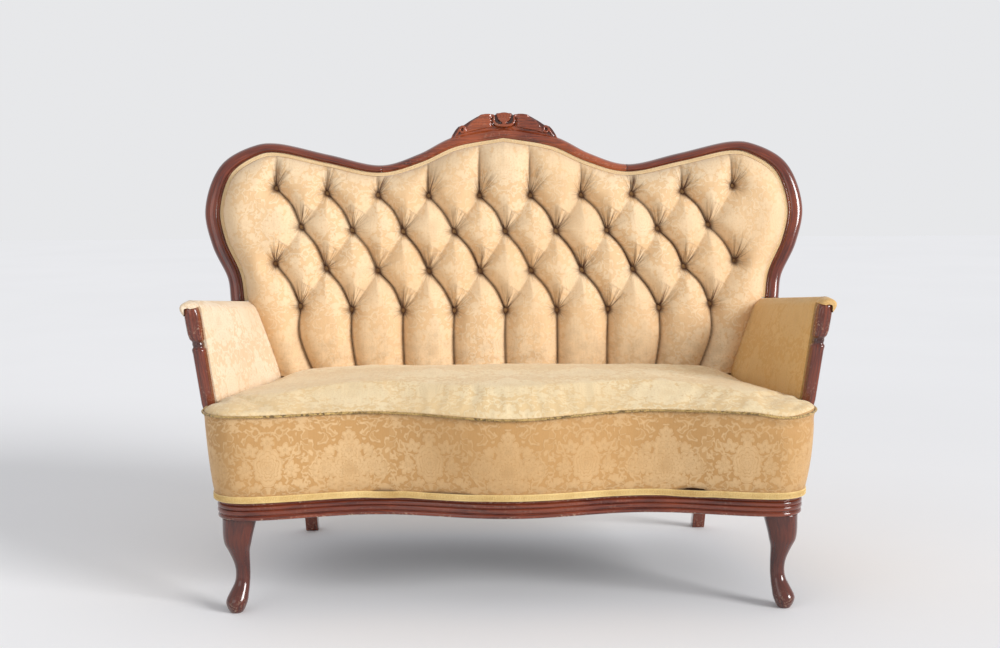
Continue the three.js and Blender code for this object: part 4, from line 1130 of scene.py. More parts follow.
def makeRollEnds():  # the cover of the arm's top, brought forward over the knuckle
    rings = []
    frontEnd = postMiddle - arm["postDepth"] / 2 - 2.5
    top = float(armTop(armFrontY))
    crown = armRing(0)
    first = int(np.argmax(crown[:, 2] > top - 13))
    last = len(crown) - 1 - int(np.argmax((crown[:, 2] > top - 31)[::-1]))
    crown = crown[first:last + 1]
    beyondPost = float(armInner(armFrontY, top - 20)) + arm["postWidth"] + 3.4
    low = pathThrough([(crown[-1][0], top - 31), (beyondPost, top - 26), (beyondPost - 1, top - 15),
                       (beyondPost - 7, top - 11), (mix(crown[0][0], beyondPost, 0.45), top - 9),
                       (crown[0][0] + 2, top - 13)], perSpan=4)[1:-1]
    outline = np.vstack([crown, np.column_stack([low[:, 0], np.full(len(low), armFrontY), low[:, 1]])])
    middle = outline.mean(0)
    for share, size in ((0, 1.0), (0.35, 1.01), (0.7, 0.99), (0.88, 0.93), (0.97, 0.8), (1, 0.55)):
        ring = middle + (outline - middle) * [size, 1, size]
        ring[:, 1] = mix(armFrontY + 3, frontEnd, share)
        ring[:, 2] -= 1.5 * share + 0.8 * np.sin(ring[:, 0] / 5) * share
        rings.append(ring)
    # The right roll gets the painted shade copy and the left roll the painted light copy.
    for piece in addPair("armRoll", None, rings, [shadedDamask, litArmDamask], "cloth", "cloth"):
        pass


makeArms()
makeArmPosts()
makeRollEnds()
print("arms ready")


# Seat: a crowned top over a padded border

seat = {
    "cell": 7.0,
    "borderRings": 26,
    "crown": [(0, 0), (10, 0.3), (36, 0.62), (88, 0.9), (160, 0.99), (260, 1)],
    "sideFall": 0.45,
    "bulge": 3.0,
    "gathers": 0.9,
    "sagPlace": 560,
    "sagDepth": 4.0,
    "pressure": 1.6,
    "frames": 18,
    "mostMoved": 9,
    "mapMiddle": (85, -255),
    # where the cover has come out of the gimp: place, half length and height
    "tears": [(-262, 30, 16.6), (-130, 66, 16.2), (372, 40, 18.6)],
}
postFront = postMiddle - arm["postDepth"] / 2
padRear = sofa["backDepth"] - 8


def padPlaces(line, z):  # the outline of the seat at a height, narrower where the arms stand
    tuck = smoothStep(postFront - 22, postFront - 3, line[:, 1])
    flare = flareAt(z)
    bordered = line[:, 0] + line[:, 2] * flare
    sheltered = np.sign(line[:, 0]) * (armInner(np.maximum(line[:, 1], armFrontY), z) - 2)
    return np.column_stack([mix(bordered, sheltered, tuck), line[:, 1] + line[:, 3] * flare * (1 - tuck)])


def tearHeight(x):
    return sum(high * np.exp(-(((x - place) / half) ** 4)) for place, half, high in seat["tears"])


def makeSeat():
    sides = np.concatenate([np.linspace(cornerY + 4, postFront + 2, 14), np.linspace(postFront + 8, padRear, 60)])
    line = planLine(sides, 200, 26)
    rim = edgeHeight(line[:, 0])
    rim = mix(rim, seatEdge - 2, smoothStep(-40, padRear, line[:, 1]))
    outline = padPlaces(line, rim)
    flat, cells, loop = filledShape(outline, seat["cell"])
    toEdge = distanceTo(flat, spacedAlong(closedLine(outline), 2)[0])
    toEdge[loop] = 0
    rearmost = int(np.argmax([flat[k][1] - abs(flat[k][0]) * 0.1 for k in loop]))
    loop = loop[rearmost:] + loop[:rearmost]
    crown = curveThrough(seat["crown"])(toEdge) * (1 - seat["sideFall"] * smoothStep(250, 570, np.abs(flat[:, 0])))
    edge = mix(edgeHeight(flat[:, 0]), seatEdge - 2, smoothStep(-40, padRear, flat[:, 1]))
    z = edge + (seatEdge + sofa["crownRise"] - edge) * crown
    top = np.column_stack([flat, z])
    top = puffed(top, cells, loop)
    top[:, 2] += 1.2 * np.sin(top[:, 0] / 61 + 1) * np.sin(top[:, 1] / 47) * smoothStep(10, 80, toEdge)

    # the border hangs from the rim, one ring under another
    rimPoints = top[loop]
    ahead, behind = np.roll(rimPoints, -1, 0), np.roll(rimPoints, 1, 0)
    away = np.column_stack([(ahead - behind)[:, 1], -(ahead - behind)[:, 0]])
    away /= np.linalg.norm(away, axis=1)[:, None]
    for _ in range(4):
        away = (np.roll(away, 1, 0) + away * 2 + np.roll(away, -1, 0)) / 4
        away /= np.linalg.norm(away, axis=1)[:, None]
    if np.mean(away[:, 1] * np.sign(rimPoints[:, 1] + 70)) < 0:
        away = -away
    open_ = smoothStep(postFront - 2, postFront - 26, rimPoints[:, 1])
    walk = walked(rimPoints[:, :2])
    points, faces = [top], cells.tolist()
    corners = [[(top[k][0], top[k][1]) for k in face] for face in faces]
    kinds = [0] * len(faces)
    previous = list(loop)
    start = len(top)
    bottom = railTop + fit + tearHeight(rimPoints[:, 0]) * open_
    for ring in range(1, seat["borderRings"] + 1):
        share = ring / seat["borderRings"]
        z = mix(rimPoints[:, 2], bottom, share)
        drawIn = flareAt(rimPoints[:, 2]) - flareAt(z)
        middle = math.sin(math.pi * share)
        bulge = seat["bulge"] * middle ** 0.8
        gathers = seat["gathers"] * np.sin(walk / 7.3 + 2 * np.sin(walk / 61)) * math.exp(-share * 9)
        hang = 1.3 * np.sin(walk / 88 + 0.8) * middle + 0.8 * np.sin(walk / 37 + 2.1) * middle ** 2
        fromSag = rimPoints[:, 0] - seat["sagPlace"]
        crease = -np.exp(-(fromSag / 55) ** 2) * math.exp(-((share - 0.13) / 0.05) ** 2)
        crease += 0.75 * np.exp(-(fromSag / 65) ** 2) * math.exp(-((share - 0.05) / 0.05) ** 2)
        out = bulge + gathers + hang + seat["sagDepth"] * crease - drawIn
        place = rimPoints[:, :2] + away * (out * open_ - 3 * (1 - open_))[:, None]
        points.append(np.column_stack([place, z]))
        here = list(range(start, start + len(loop)))
        start += len(loop)
        for i in range(len(loop)):
            j = (i + 1) % len(loop)
            faces.append([previous[j], previous[i], here[i], here[j]])
            far = walk[j] if j else walk[i] + seat["cell"]
            upper = mix(rimPoints[i][2], bottom[i], (ring - 1) / seat["borderRings"])
            corners.append([(far, upper), (walk[i], upper), (walk[i], z[i]), (far, z[i])])
            kinds.append(1 if open_[i] > 0.05 else 0)
        previous = here
    faces.append(previous[::-1])
    corners.append([(points[-1][i][0], points[-1][i][1]) for i in range(len(loop))][::-1])
    kinds.append(1)
    points = np.vstack(points)
    if volumeOf(points, faces) < 0:
        faces = [face[::-1] for face in faces]
        corners = [part[::-1] for part in corners]
    piece = addMesh("seatPad", points, faces)
    right, up = seat["mapMiddle"]
    middle = rimMiddle(rimPoints, walk)
    corners = [[(u - middle + right, v + up) for u, v in part] if kind else [(u + right, v) for u, v in part]
               for part, kind in zip(corners, kinds)]
    addMap(piece, "cloth", corners)
    piece.data.materials.append(seatDamask)
    piece.data.materials.append(borderDamask)
    piece.data.polygons.foreach_set("material_index", kinds)
    # A painted shadow line under the piping, and darker towards the gimp.
    shadowUnderPiping = np.exp(-((points[:, 2] - edgeHeight(points[:, 0]) + 4) / 9) ** 2)
    addNumbers(piece, "dirtAndShade", np.clip(smoothStep(railTop + 42, railTop, points[:, 2]) + 0.5 * shadowUnderPiping, 0, 1))
    finishPiece(piece, "cloth", "seat_pad")


def rimMiddle(rimPoints, walk):  # how far along the rim the middle of the front lies
    front = np.nonzero(rimPoints[:, 1] < -250)[0]
    return walk[front[np.argmin(np.abs(rimPoints[front, 0]))]]


def puffed(points, cells, loop):  # pressure under the cover, held all round its edge
    piece = addMesh("cover in the making", points, cells.tolist())
    held = piece.vertex_groups.new(name="held")
    held.add(list(map(int, loop)), 1.0, "ADD")
    cloth = piece.modifiers.new("cloth", "CLOTH")
    settings = cloth.settings
    settings.vertex_group_mass = "held"
    settings.use_pressure = True
    settings.uniform_pressure_force = seat["pressure"]
    settings.quality = 6
    settings.mass = 0.25
    settings.tension_stiffness = settings.compression_stiffness = 18
    settings.shear_stiffness = 8
    settings.bending_stiffness = 0.6
    settings.shrink_min = -0.012
    settings.effector_weights.gravity = 0
    cloth.collision_settings.use_self_collision = False
    for number in range(seat["frames"]):
        bpy.context.scene.frame_set(number + 1)
    mesh = piece.evaluated_get(bpy.context.evaluated_depsgraph_get()).to_mesh()
    moved = np.empty(len(points) * 3, np.float32)
    mesh.vertices.foreach_get("co", moved)
    moved = moved.reshape(-1, 3) / mm - shift
    bpy.data.objects.remove(piece)
    bpy.context.scene.frame_set(1)
    step = moved - points
    size = np.linalg.norm(step, axis=1)[:, None]
    return points + step * np.minimum(1, seat["mostMoved"] / np.maximum(size, 1e-6))


makeSeat()
print("seat ready")


# The buttoned back

tufts = {
    "cell": 2.6,
    "pitch": 122,
    "rowPitches": [93, 93, 85],
    "firstRow": 153,
    "rowLift": 20,
    "depth": 43,
    "edge": 12,
    "buttonSeat": 18,
    "back": 12,
    "edgeRound": 58,
    "broad": 20,
    "narrow": 3.2,
}


def buttonPlaces():
    places = []
    height = seatEdge + tufts["firstRow"]
    for row in range(4):
        for place in np.arange(-4, 4.1) if row % 2 == 0 else np.arange(-4.5, 4.6):
            x = place * tufts["pitch"]
            places.append((x, height + tufts["rowLift"] * (x / (tufts["pitch"] * 4.5)) ** 4, row))
        if row < 3:
            height += tufts["rowPitches"][row]
    return np.array(places)


buttons = buttonPlaces()


def foldLines():  # each fold: its line, how deep the wide hollow and the sharp crease are
    folds = []
    for x, z, row in buttons:
        lower = buttons[(buttons[:, 2] == row - 1) & (np.abs(buttons[:, 0] - x) < tufts["pitch"] * 0.6)]
        for x2, z2, _ in lower:
            right = x2 > x
            bend = rng.uniform(5, 9) if right else rng.uniform(2, 4)
            middle = ((x + x2) / 2 + bend, (z + z2) / 2 + bend * 0.7)
            line = pathThrough([(x, z), middle, (x2, z2)], perSpan=4)
            folds.append((line, 0.62 if right else 0.44, rng.uniform(0.5, 0.72) if right else rng.uniform(0.02, 0.14)))
        if row == 0:
            foot = x * (1 - 0.08 * (x / (tufts["pitch"] * 4)) ** 2)
            middle = (x + rng.uniform(-3, 1), mix(z, padBottom, 0.45))
            folds.append((pathThrough([(x, z), middle, (foot, padBottom - 10)], perSpan=4), 0.62, 0.6))
        if row == 3:
            middle = (x + rng.uniform(-2, 2), mix(z, crest, 0.5))
            folds.append((pathThrough([(x, z), middle, (x * 1.01, crest + 60)], perSpan=4), 0.58, 0.42))
    return folds


def distanceToLine(points, line):
    best = np.full(len(points), 1e9)
    for a, b in zip(line[:-1], line[1:]):
        along = b - a
        t = np.clip(((points - a) @ along) / (along @ along), 0, 1)
        best = np.minimum(best, np.hypot(*(points - a - t[:, None] * along).T))
    return best


def tuftedHeight(points, outline):
    broad, narrow = np.zeros(len(points)), np.zeros(len(points))
    for line, wide, sharp in foldLines():
        low, high = line.min(0) - 75, line.max(0) + 75
        near = np.nonzero(((points > low) & (points < high)).all(1))[0]
        gap = distanceToLine(points[near], line)
        broad[near] = np.maximum(broad[near], wide * np.exp(-(gap / tufts["broad"]) ** 1.45))
        narrow[near] = np.maximum(narrow[near], sharp * np.exp(-(gap / tufts["narrow"]) ** 1.3))
    nearest = np.full(len(points), 1e9)
    offset = np.zeros((len(points), 3))
    number = np.zeros(len(points))
    for i, (x, z, _) in enumerate(buttons):
        away = points - [x, z]
        gap = np.hypot(*away.T)
        closer = gap < nearest
        nearest[closer] = gap[closer]
        offset[closer, :2] = away[closer]
        number[closer] = i * 3.7
    turn = np.arctan2(offset[:, 0], offset[:, 1])
    pull = 0.9 * np.exp(-(nearest / 12) ** 1.1)
    fan = np.exp(-((nearest - 6) / 44) ** 2) * np.exp(-((turn - 0.28) / 0.6) ** 2)
    fan += 0.5 * np.exp(-(nearest / 19) ** 2)
    fill = (1 - broad) * (1 - narrow) * (1 - pull)
    rim = spacedAlong(outline[(outline[:, 1] > padBottom + 1)], 3)[0]
    toEdge = distanceTo(points, rim)
    round_ = np.sqrt(np.maximum(1 - (1 - np.minimum(toEdge / tufts["edgeRound"], 1)) ** 2, 0))
    height = tufts["edge"] + round_ * (tufts["buttonSeat"] + tufts["depth"] * fill)
    ripples = 0.8 * np.sin(turn * 13 + number) * fan * smoothStep(6, 14, nearest)
    creased = np.sin(points[:, 0] / 9 + 3 * np.sin(points[:, 1] / 83))
    creased *= np.exp(-(toEdge / 16) ** 2) * smoothStep(0, 6, toEdge)
    # Painted shade: darker in the button pits, in the pucker fans and along the creases.
    shade = 0.95 * np.exp(-(nearest / 9.3) ** 3) + 0.13 * fan + 1.5 * narrow ** 1.4 + 0.08 * broad ** 2
    return height + ripples + creased, np.clip(shade, 0, 0.94), offset, number, fan


def backOutline(inset, bottom, count=300):
    upper = []
    for at in np.linspace(0, 1, count):
        x, _, z = beside(station(at), -sofa["lipWidth"] - inset, 0)
        upper.append((x, z))
    upper = np.array(upper)
    upper[0, 1] = waistHeight
    upper[-1, 0] = 0
    foot = stileSeatX - sofa["frameHalfDepth"] - sofa["lipWidth"] - inset
    side = np.linspace((foot, bottom), upper[0], 40, endpoint=False)
    right = np.vstack([side, upper])
    left = (right[:-1] * [-1, 1])[::-1]
    return np.vstack([right, left])


def makeBack():
    outline = backOutline(fit, padBottom)
    flat, cells, loop = filledShape(outline, tufts["cell"])
    height, shade, offset, number, fan = tuftedHeight(flat, outline)
    height[loop] = np.minimum(height[loop], np.where(flat[loop][:, 1] > padBottom + 3, tufts["edge"], 1e9))
    front = np.column_stack([flat[:, 0], backPlane(flat[:, 1]) - height, flat[:, 1]])
    behind = np.column_stack([flat[loop][:, 0], backPlane(flat[loop][:, 1]) + tufts["back"], flat[loop][:, 1]])
    start = len(front)
    faces = cells.tolist()
    for i in range(len(loop)):
        j = (i + 1) % len(loop)
        faces.append([loop[j], loop[i], start + i, start + j])
    faces.append([start + i for i in range(len(loop))][::-1])
    points = np.vstack([front, behind])
    faces = outward(points, faces)
    piece = addMesh("backPad", points, faces)
    upright = 1 / math.cos(math.atan(sofa["backLean"]))
    corners = [[(points[k][0] + 85, points[k][2] * upright) for k in face] for face in faces]
    addMap(piece, "cloth", corners)
    spare = np.zeros(len(loop))
    # Painted shade: darker towards the bottom of the back, under the seat.
    lowerBackShade = smoothStep(190, 0, flat[:, 1] - padBottom)
    for name, values in (("creaseShade", shade), ("buttonNumber", number), ("fan", fan), ("dirtAndShade", lowerBackShade)):
        addNumbers(piece, name, np.concatenate([values, spare]))
    offset = np.vstack([offset, np.zeros((len(loop), 3))]).astype(np.float32)
    piece.data.attributes.new("fromButton", "FLOAT_VECTOR", "POINT").data.foreach_set("vector", offset.ravel())
    piece.data.materials.append(backDamask)
    finishPiece(piece, "cloth", "back_pad")


makeBack()
print("buttoned back ready")


# What repeats: a small piece set at every place, turned to the line and to the face it lies on

def repeatTree():
    tree = bpy.data.node_groups.new("set along the work", "GeometryNodeTree")
    face = tree.interface
    face.new_socket("Geometry", in_out="INPUT", socket_type="NodeSocketGeometry")
    face.new_socket("Small Piece", in_out="INPUT", socket_type="NodeSocketObject")
    face.new_socket("Finish", in_out="INPUT", socket_type="NodeSocketMaterial")
    face.new_socket("Smallest", in_out="INPUT", socket_type="NodeSocketFloat")
    face.new_socket("Largest", in_out="INPUT", socket_type="NodeSocketFloat")
    face.new_socket("Seed", in_out="INPUT", socket_type="NodeSocketInt")
    face.new_socket("Geometry", in_out="OUTPUT", socket_type="NodeSocketGeometry")
    new, link = tree.nodes.new, tree.links.new
    start, end = new("NodeGroupInput"), new("NodeGroupOutput")
    small = new("GeometryNodeObjectInfo")
    link(start.outputs["Small Piece"], small.inputs["Object"])
    directions = []
    for name in ("along", "out"):
        read = new("GeometryNodeInputNamedAttribute")
        read.data_type = "FLOAT_VECTOR"
        read.inputs["Name"].default_value = name
        directions.append(read.outputs["Attribute"])
    first, second = new("FunctionNodeAlignRotationToVector"), new("FunctionNodeAlignRotationToVector")
    first.axis, second.axis, second.pivot_axis = "X", "Z", "X"
    link(directions[0], first.inputs["Vector"])
    link(first.outputs["Rotation"], second.inputs["Rotation"])
    link(directions[1], second.inputs["Vector"])
    size = new("FunctionNodeRandomValue")
    size.data_type = "FLOAT"
    link(start.outputs["Smallest"], size.inputs[2])
    link(start.outputs["Largest"], size.inputs[3])
    link(start.outputs["Seed"], size.inputs["Seed"])
    scale = new("ShaderNodeCombineXYZ")
    for i in range(3):
        link(size.outputs[1], scale.inputs[i])
    spread = new("GeometryNodeInstanceOnPoints")
    link(start.outputs["Geometry"], spread.inputs["Points"])
    link(small.outputs["Geometry"], spread.inputs["Instance"])
    link(second.outputs["Rotation"], spread.inputs["Rotation"])
    link(scale.outputs[0], spread.inputs["Scale"])
    whole, finish = new("GeometryNodeRealizeInstances"), new("GeometryNodeSetMaterial")
    link(spread.outputs["Instances"], whole.inputs["Geometry"])
    link(whole.outputs["Geometry"], finish.inputs["Geometry"])
    link(start.outputs["Finish"], finish.inputs["Material"])
    link(finish.outputs["Geometry"], end.inputs["Geometry"])
    return tree


repeater = repeatTree()


def setAlong(name, places, along, out, smallPoints, smallFaces, material, sizes=(1, 1), seed=3):
    small = bpy.data.meshes.new("small piece")
    small.from_pydata((np.asarray(smallPoints) * mm).tolist(), [], outward(np.asarray(smallPoints, float), smallFaces))
    small.shade_smooth()
    pattern = bpy.data.objects.new("small piece", small)
    bpy.context.scene.collection.objects.link(pattern)
    points = addMesh(name, places, [])
    for label, vectors in (("along", along), ("out", out)):
        flat = np.asarray(vectors, np.float32).ravel()
        points.data.attributes.new(label, "FLOAT_VECTOR", "POINT").data.foreach_set("vector", flat)
    modifier = points.modifiers.new("repeat", "NODES")
    modifier.node_group = repeater
    smallest, largest = map(float, sizes)
    values = {"Small Piece": pattern, "Finish": material, "Smallest": smallest, "Largest": largest, "Seed": seed}
    for item in repeater.interface.items_tree:
        if item.item_type == "SOCKET" and item.in_out == "INPUT" and item.name in values:
            modifier[item.identifier] = values[item.name]
    mesh = bpy.data.meshes.new_from_object(points.evaluated_get(bpy.context.evaluated_depsgraph_get()))
    points.modifiers.clear()
    points.data = mesh
    bpy.data.objects.remove(pattern)
    for attribute in ("along", "out"):
        if attribute in mesh.attributes:
            mesh.attributes.remove(mesh.attributes[attribute])
    return points


def turned(profile, sides):  # points and faces of a small turned shape from (radius, height) pairs, closed at both ends
    turn = np.linspace(0, 2 * np.pi, sides, endpoint=False)
    points = [(r * math.cos(t), r * math.sin(t), h) for r, h in profile[1:-1] for t in turn]
    points += [(0, 0, profile[0][1]), (0, 0, profile[-1][1])]
    faces, rows = [], len(profile) - 2
    for r in range(rows - 1):
        for i in range(sides):
            j = (i + 1) % sides
            faces.append([r * sides + i, r * sides + j, (r + 1) * sides + j, (r + 1) * sides + i])
    for i in range(sides):
        j = (i + 1) % sides
        faces.append([rows * sides, j, i])
        faces.append([rows * sides + 1, (rows - 1) * sides + i, (rows - 1) * sides + j])
    return points, faces


leanAway = np.array([0, -1, sofa["backLean"]]) / math.hypot(1, sofa["backLean"])  # straight out of the leaning back

button = {"radius": 7.0, "height": 6.5, "sides": 18, "sink": 0.5}


def makeButtons():
    radius, high = button["radius"], button["height"]
    profile = [(0, 0), (0.8, 0), (1, 0.22), (0.98, 0.4), (0.84, 0.66), (0.55, 0.87), (0.25, 0.97), (0, 1)]
    profile = [(radius * across, high * up) for across, up in profile]
    points, faces = turned(profile, button["sides"])
    face = tufts["edge"] + tufts["buttonSeat"] - button["sink"]
    places = np.column_stack([buttons[:, 0], backPlane(buttons[:, 1]) - face, buttons[:, 1]])
    count = len(places)
    piece = setAlong("buttons", places, np.tile([1, 0, 0], (count, 1)), np.tile(leanAway, (count, 1)), points, faces,
                     buttonCloth, (0.96, 1.04))
    finishPiece(piece, "cloth", *[f"button_{i + 1:02d}" for i in range(count)])


makeButtons()
print("buttons ready")


# Piping: a twisted cord along the top edge, frayed where it is rubbed most

piping = {
    "radius": 2.5,
    "lay": 8.0,
    "strands": 3,
    "depth": 0.13,
    "drop": 2.2,
    "threads": 1500,
    "threadRadius": 0.22,
    "threadBends": [(-0.4, 0), (1.2, 0.25), (2.4, 0.9)],  # how far out and how far aside
}


def pipingLine():
    line = planLine([*np.linspace(cornerY + 6, postFront - 8, 8)], 700, 50)
    out = sofa["borderFlare"] + piping["radius"] + 0.8
    z = edgeHeight(line[:, 0]) - piping["drop"]
    return np.column_stack([line[:, :2] + line[:, 2:] * out, z]), line[:, 2:]


def makePiping():
    places, away = pipingLine()
    path, along, at = spacedAlong(places, 1.5)
    index = np.linspace(0, len(away) - 1, len(path))
    away = np.column_stack([np.interp(index, range(len(away)), away[:, k]) for k in (0, 1)])
    side = np.column_stack([away, np.zeros(len(away))])
    side -= along * (side * along).sum(1)[:, None]
    side /= np.linalg.norm(side, axis=1)[:, None]
    up = np.cross(along, side)
    turn = np.linspace(0, 2 * np.pi, 16, endpoint=False)
    wear = 1 - 0.12 * (0.5 + 0.5 * np.sin(at / 23)) * np.exp(-((path[:, 0] / 420) ** 4))
    twist = piping["strands"] * turn[None, :] - 2 * np.pi * at[:, None] / piping["lay"]
    radius = (piping["radius"] * wear[:, None] * (1 + piping["depth"] * np.cos(twist)))[:, :, None]
    round_ = np.cos(turn)[None, :, None] * side[:, None, :] + np.sin(turn)[None, :, None] * up[:, None, :]
    piece = addLoft("seatPiping", path[:, None, :] + radius * round_, pipingCloth, "braid")
    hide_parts("seat_piping")
    makeLooseThreads(path, along, side, up)


def makeLooseThreads(path, along, side, up):  # on the rubbed outer side of the piping
    count = piping["threads"]
    pick = rng.integers(4, len(path) - 4, count)
    pick = pick[np.abs(path[pick, 0]) < rng.uniform(250, 640, count)]
    lift = rng.uniform(-1.2, 1.0, len(pick))
    out = np.cos(lift)[:, None] * side[pick] + np.sin(lift)[:, None] * up[pick]
    where = path[pick] + out * piping["radius"] * 0.9
    thick = piping["threadRadius"]
    hair = [(thick * math.cos(turn) + bend, thick * math.sin(turn), reach)
            for reach, bend in piping["threadBends"] for turn in (0, 2.1, 4.2)]
    lie = along[pick] * rng.choice([-1, 1], len(pick))[:, None]
    piece = setAlong("frayedThreads", where, lie, out, hair, tubeFaces(3, 3), frayedThread, (0.6, 1.5), 5)
    finishPiece(piece, "braid")


makePiping()
print("piping ready")


# Gimp: a flat woven braid with corded edges and a plait of slanting ridges

seatBraid = {
    "width": 14,
    "thickness": 2.2,
    "cord": 1.2,
    "ridgeWidth": 9.6,
    "ridgeHeight": 1.3,
    "slant": 1.8,
    "foot": 1.1,
}
backBraid = {
    "width": 9,
    "thickness": 2.4,
    "cord": 1.0,
    "ridgeWidth": 5.6,
    "ridgeHeight": 1.2,
    "slant": 1.4,
    "foot": 1.3,
}
ridgeGap = 3.4


def gimpBand(name, path, along, out, braid, material, node):  # path is the middle of the band on the cloth
    across = np.cross(along, out)
    across /= np.linalg.norm(across, axis=1)[:, None]
    half, thickness, cord = braid["width"] / 2, braid["thickness"], braid["cord"]
    section = [(half, 0), (half, thickness * 0.5), (half - cord, thickness), (half - 2.2 * cord, thickness * 0.55)]
    section = [(-x, y) for x, y in section] + [(0, thickness * 0.62)] + section[::-1]
    rings = [[p + a * x + o * y for x, y in section] for p, a, o in zip(path, across, out)]
    piece = addLoft(name, rings, material, "braid")
    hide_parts(node)


def ridge(width, height, slant):  # a small slanting ridge across the band, its foot in the band
    points = []
    for share in (-1, -0.5, 0, 0.5, 1):
        middle, y = slant * (1 - abs(share)), share * width / 2
        tall = height * (1 - 0.6 * share ** 2)
        points += [(middle - 0.75, y, 0), (middle - 0.4, y, tall), (middle + 0.4, y, tall), (middle + 0.75, y, 0)]
    return points, tubeFaces(5, 4)


def addPlait(name, path, facing, braid, material):
    spots, along, _ = spacedAlong(path, ridgeGap)
    away = facing(along)
    points, faces = ridge(braid["ridgeWidth"], braid["ridgeHeight"], braid["slant"])
    piece = setAlong(name, spots + away * braid["foot"], along, away, points, faces, material, (0.95, 1.05))
    finishPiece(piece, "braid")


def besideUpright(along):  # level, and square to the line
    away = np.cross(along, [0, 0, 1])
    return away / np.linalg.norm(away, axis=1)[:, None]


def outOfBack(along):
    return np.tile(leanAway, (len(along), 1))


def makeSeatGimp():
    line = planLine(np.linspace(cornerY + 3, sideEnd - 12, 90), 500, 40)
    low = railTop + 1
    middle = low + seatBraid["width"] / 2
    out = flareAt(low + seatBraid["width"]) + 0.9
    sag = 1.4 * tearHeight(line[:, 0]) / 18 * (line[:, 1] < -200)
    path = np.column_stack([line[:, :2] + line[:, 2:] * out, middle - sag])
    path, along, _ = spacedAlong(path, 3.0)
    gimpBand("seatGimp", path, along, besideUpright(along), seatBraid, goldBraid, "seat_gimp")
    addPlait("seatGimpPlait", path, besideUpright, seatBraid, goldBraid)


def makeBackGimp():
    half = np.array([beside(station(at), -4.6, -sofa["lipHalfDepth"] - fit) for at in np.linspace(0, 1, 260)])
    line = np.vstack([half, otherSide(half[:-1])[::-1]])
    path, along, _ = spacedAlong(line, 3.0)
    gimpBand("backGimp", path, along, outOfBack(along), backBraid, creamBraid, "back_gimp")
    addPlait("backGimpPlait", path, outOfBack, backBraid, creamBraid)


makeSeatGimp()
makeBackGimp()
print("gimp ready")


# Painted shadow in the slits above the gimp: a dark strip behind them

slitStripSection = [(2, 0.4), (6.2, 0.4), (8.2, 26), (4, 26)]  # how far out and how far over the rail


def makeSlitShadow():
    line = planLine([], 300, 30)
    addLoft("tackingStrip", [[(x + ox * out, y + oy * out, railTop + up) for out, up in slitStripSection]
                             for x, y, ox, oy in line], slitShadowCloth, "lining")


makeSlitShadow()


# Outside back and dust cover

cover = {"cell": 12.0, "thickness": 2.0, "behind": 13.3, "slack": 1.2}


def makeOutsideBack():
    low = np.linspace(railTop, padBottom, 30)
    low = np.concatenate([low, np.linspace(padBottom, waistHeight, 20)[1:]])
    inset = mix(0.8, sofa["lipWidth"] + 0.6, smoothStep(waistHeight - 50, waistHeight, low))
    right = np.column_stack([stileX(low) - stileHalf(low) - inset, low])
    upper = backOutline(0.6, padBottom)
    upper = upper[upper[:, 1] > waistHeight + 1]
    outline = np.vstack([right, upper, (right * [-1, 1])[::-1]])
    flat, cells, loop = filledShape(outline, cover["cell"])
    x, z = flat[:, 0], flat[:, 1]
    rear = np.where(z > waistHeight, backPlane(z), stileY(z)) + cover["behind"]
    slack = cover["slack"] * np.sin(x / 97 + z / 160) * np.sin(z / 120) * smoothStep(0, 60, distanceTo(flat, outline))
    points = np.vstack([np.column_stack([x, rear + cover["thickness"] + slack, z]), np.column_stack([x, rear, z])])
    start = len(flat)
    faces = cells.tolist()
    faces += [[k + start for k in cell[::-1]] for cell in cells.tolist()]
    for i in range(len(loop)):
        j = (i + 1) % len(loop)
        faces.append([loop[j], loop[i], start + loop[i], start + loop[j]])
    faces = outward(points, faces)
    piece = addMesh("outsideBack", points, faces)
    addMap(piece, "cloth", [[(points[k][0], points[k][2]) for k in face] for face in faces])
    piece.data.materials.append(coverDamask)
    finishPiece(piece, "cloth", "back_cover")


def dress(node, material):  # a CAD node that is shown as it is
    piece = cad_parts[node]
    piece.data.materials.clear()
    piece.data.materials.append(material)
    return piece


def makeDustCover():
    dust = dress("dust_cover", darkLining)


makeOutsideBack()
makeDustCover()
dress("seat_rail_back", hiddenWood)
print("covers ready")


# Camera, floor and light

view = {
    "place": np.array([-59.28, -3122.44, 926.94]),
    "focal": 1389.01,
    "pitch": math.radians(6.646),
    "yaw": math.radians(0.791),
    "roll": math.radians(-0.272),
}


def makeCamera():
    yaw, pitch, roll = view["yaw"], view["pitch"], view["roll"]
    ahead = Vector((math.sin(yaw) * math.cos(pitch), math.cos(yaw) * math.cos(pitch), -math.sin(pitch)))
    right = Vector((math.cos(yaw), -math.sin(yaw), 0))
    up = right.cross(ahead)
    turnedRight = right * math.cos(roll) + up * math.sin(roll)
    turnedUp = up * math.cos(roll) - right * math.sin(roll)
    data = bpy.data.cameras.new("camera")
    data.sensor_width = 36
    data.lens = 36 * view["focal"] / 1000
    data.clip_end = 60
    camera = bpy.data.objects.new("camera", data)
    bpy.context.scene.collection.objects.link(camera)
    turnMatrix = Matrix((turnedRight, turnedUp, -ahead)).transposed().to_4x4()
    camera.matrix_world = Matrix.Translation(Vector(((view["place"] + shift) * mm).tolist())) @ turnMatrix
    bpy.context.scene.camera = camera


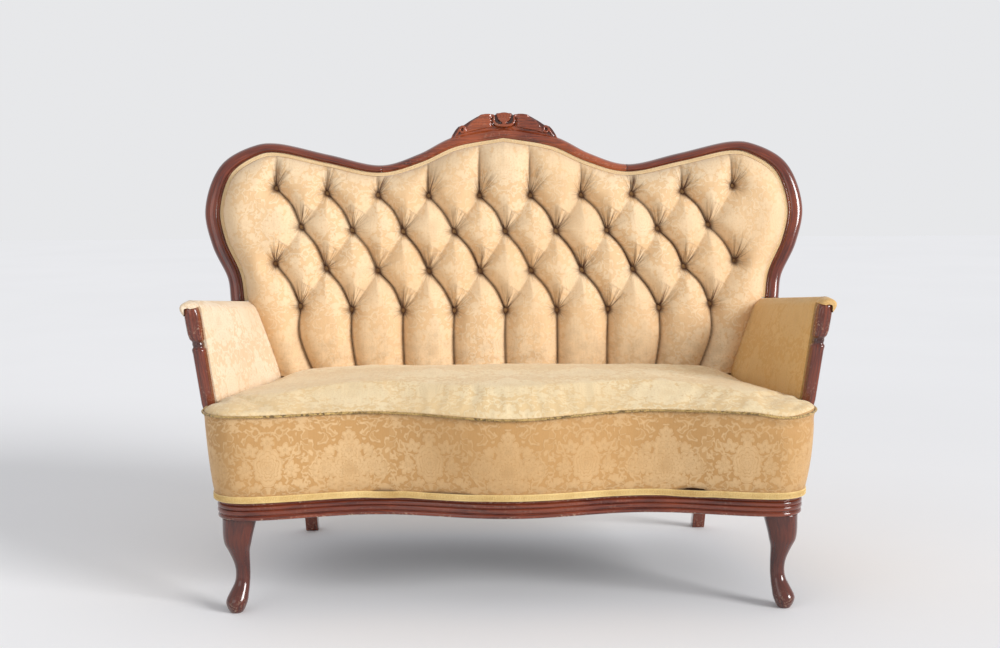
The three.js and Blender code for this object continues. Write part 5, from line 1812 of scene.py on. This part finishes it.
lights = {
    "windowPlace": (3.6, -2.4, 2.1),
    "windowStrength": 2.6,
    "windowSoftness": math.radians(24),
    "fillPlace": (-2.6, -3.6, 1.9),
    "fillSize": (2.6, 2.0),
    "fillPower": 14,
    "around": (0.62, 0.625, 0.64, 1),
    "background": (0.80, 0.805, 0.82, 1),
    "floorReach": 14,
}


def addLight(name, kind, place, energy):
    data = bpy.data.lights.new(name, kind)
    data.energy = energy
    light = bpy.data.objects.new(name, data)
    bpy.context.scene.collection.objects.link(light)
    light.location = place
    light.rotation_euler = (Vector((0, 0, 0.5)) - Vector(place)).to_track_quat("-Z", "Y").to_euler()
    return data


def makeFloor():
    reach = lights["floorReach"]
    mesh = bpy.data.meshes.new("floor")
    mesh.from_pydata([(x * reach, y * reach, 0) for x, y in ((-1, -1), (1, -1), (1, 1), (-1, 1))], [], [(0, 1, 2, 3)])
    floor = bpy.data.objects.new("floor", mesh)
    bpy.context.scene.collection.objects.link(floor)
    material, tree, shader = newMaterial("floor")
    cloud = noiseField(tree, coordinates(tree), 0.8, 4, 0.5)
    colour = blendColours(tree, cloud, paint(0.94, 0.94, 0.945), paint(0.965, 0.965, 0.97))
    tree.links.new(colour, shader.inputs["Base Color"])
    shader.inputs["Roughness"].default_value = 0.9
    shader.inputs["Specular IOR Level"].default_value = 0.0
    mesh.materials.append(material)


def makeWorld():
    world = bpy.data.worlds.new("studio")
    bpy.context.scene.world = world
    world.use_nodes = True
    tree = world.node_tree
    back = tree.nodes["Background"]
    rays = tree.nodes.new("ShaderNodeLightPath")
    seen = Field(tree, rays.outputs["Is Camera Ray"])
    colour = blendColours(tree, seen, lights["around"], lights["background"])
    tree.links.new(colour, back.inputs["Color"])
    back.inputs["Strength"].default_value = 1.0


makeCamera()
makeFloor()
makeWorld()
addLight("window", "SUN", lights["windowPlace"], lights["windowStrength"]).angle = lights["windowSoftness"]
fill = addLight("fill", "AREA", lights["fillPlace"], lights["fillPower"])
fill.shape = "RECTANGLE"
fill.size, fill.size_y = lights["fillSize"]
bpy.context.scene.view_settings.view_transform = "Standard"
print("camera and light ready")
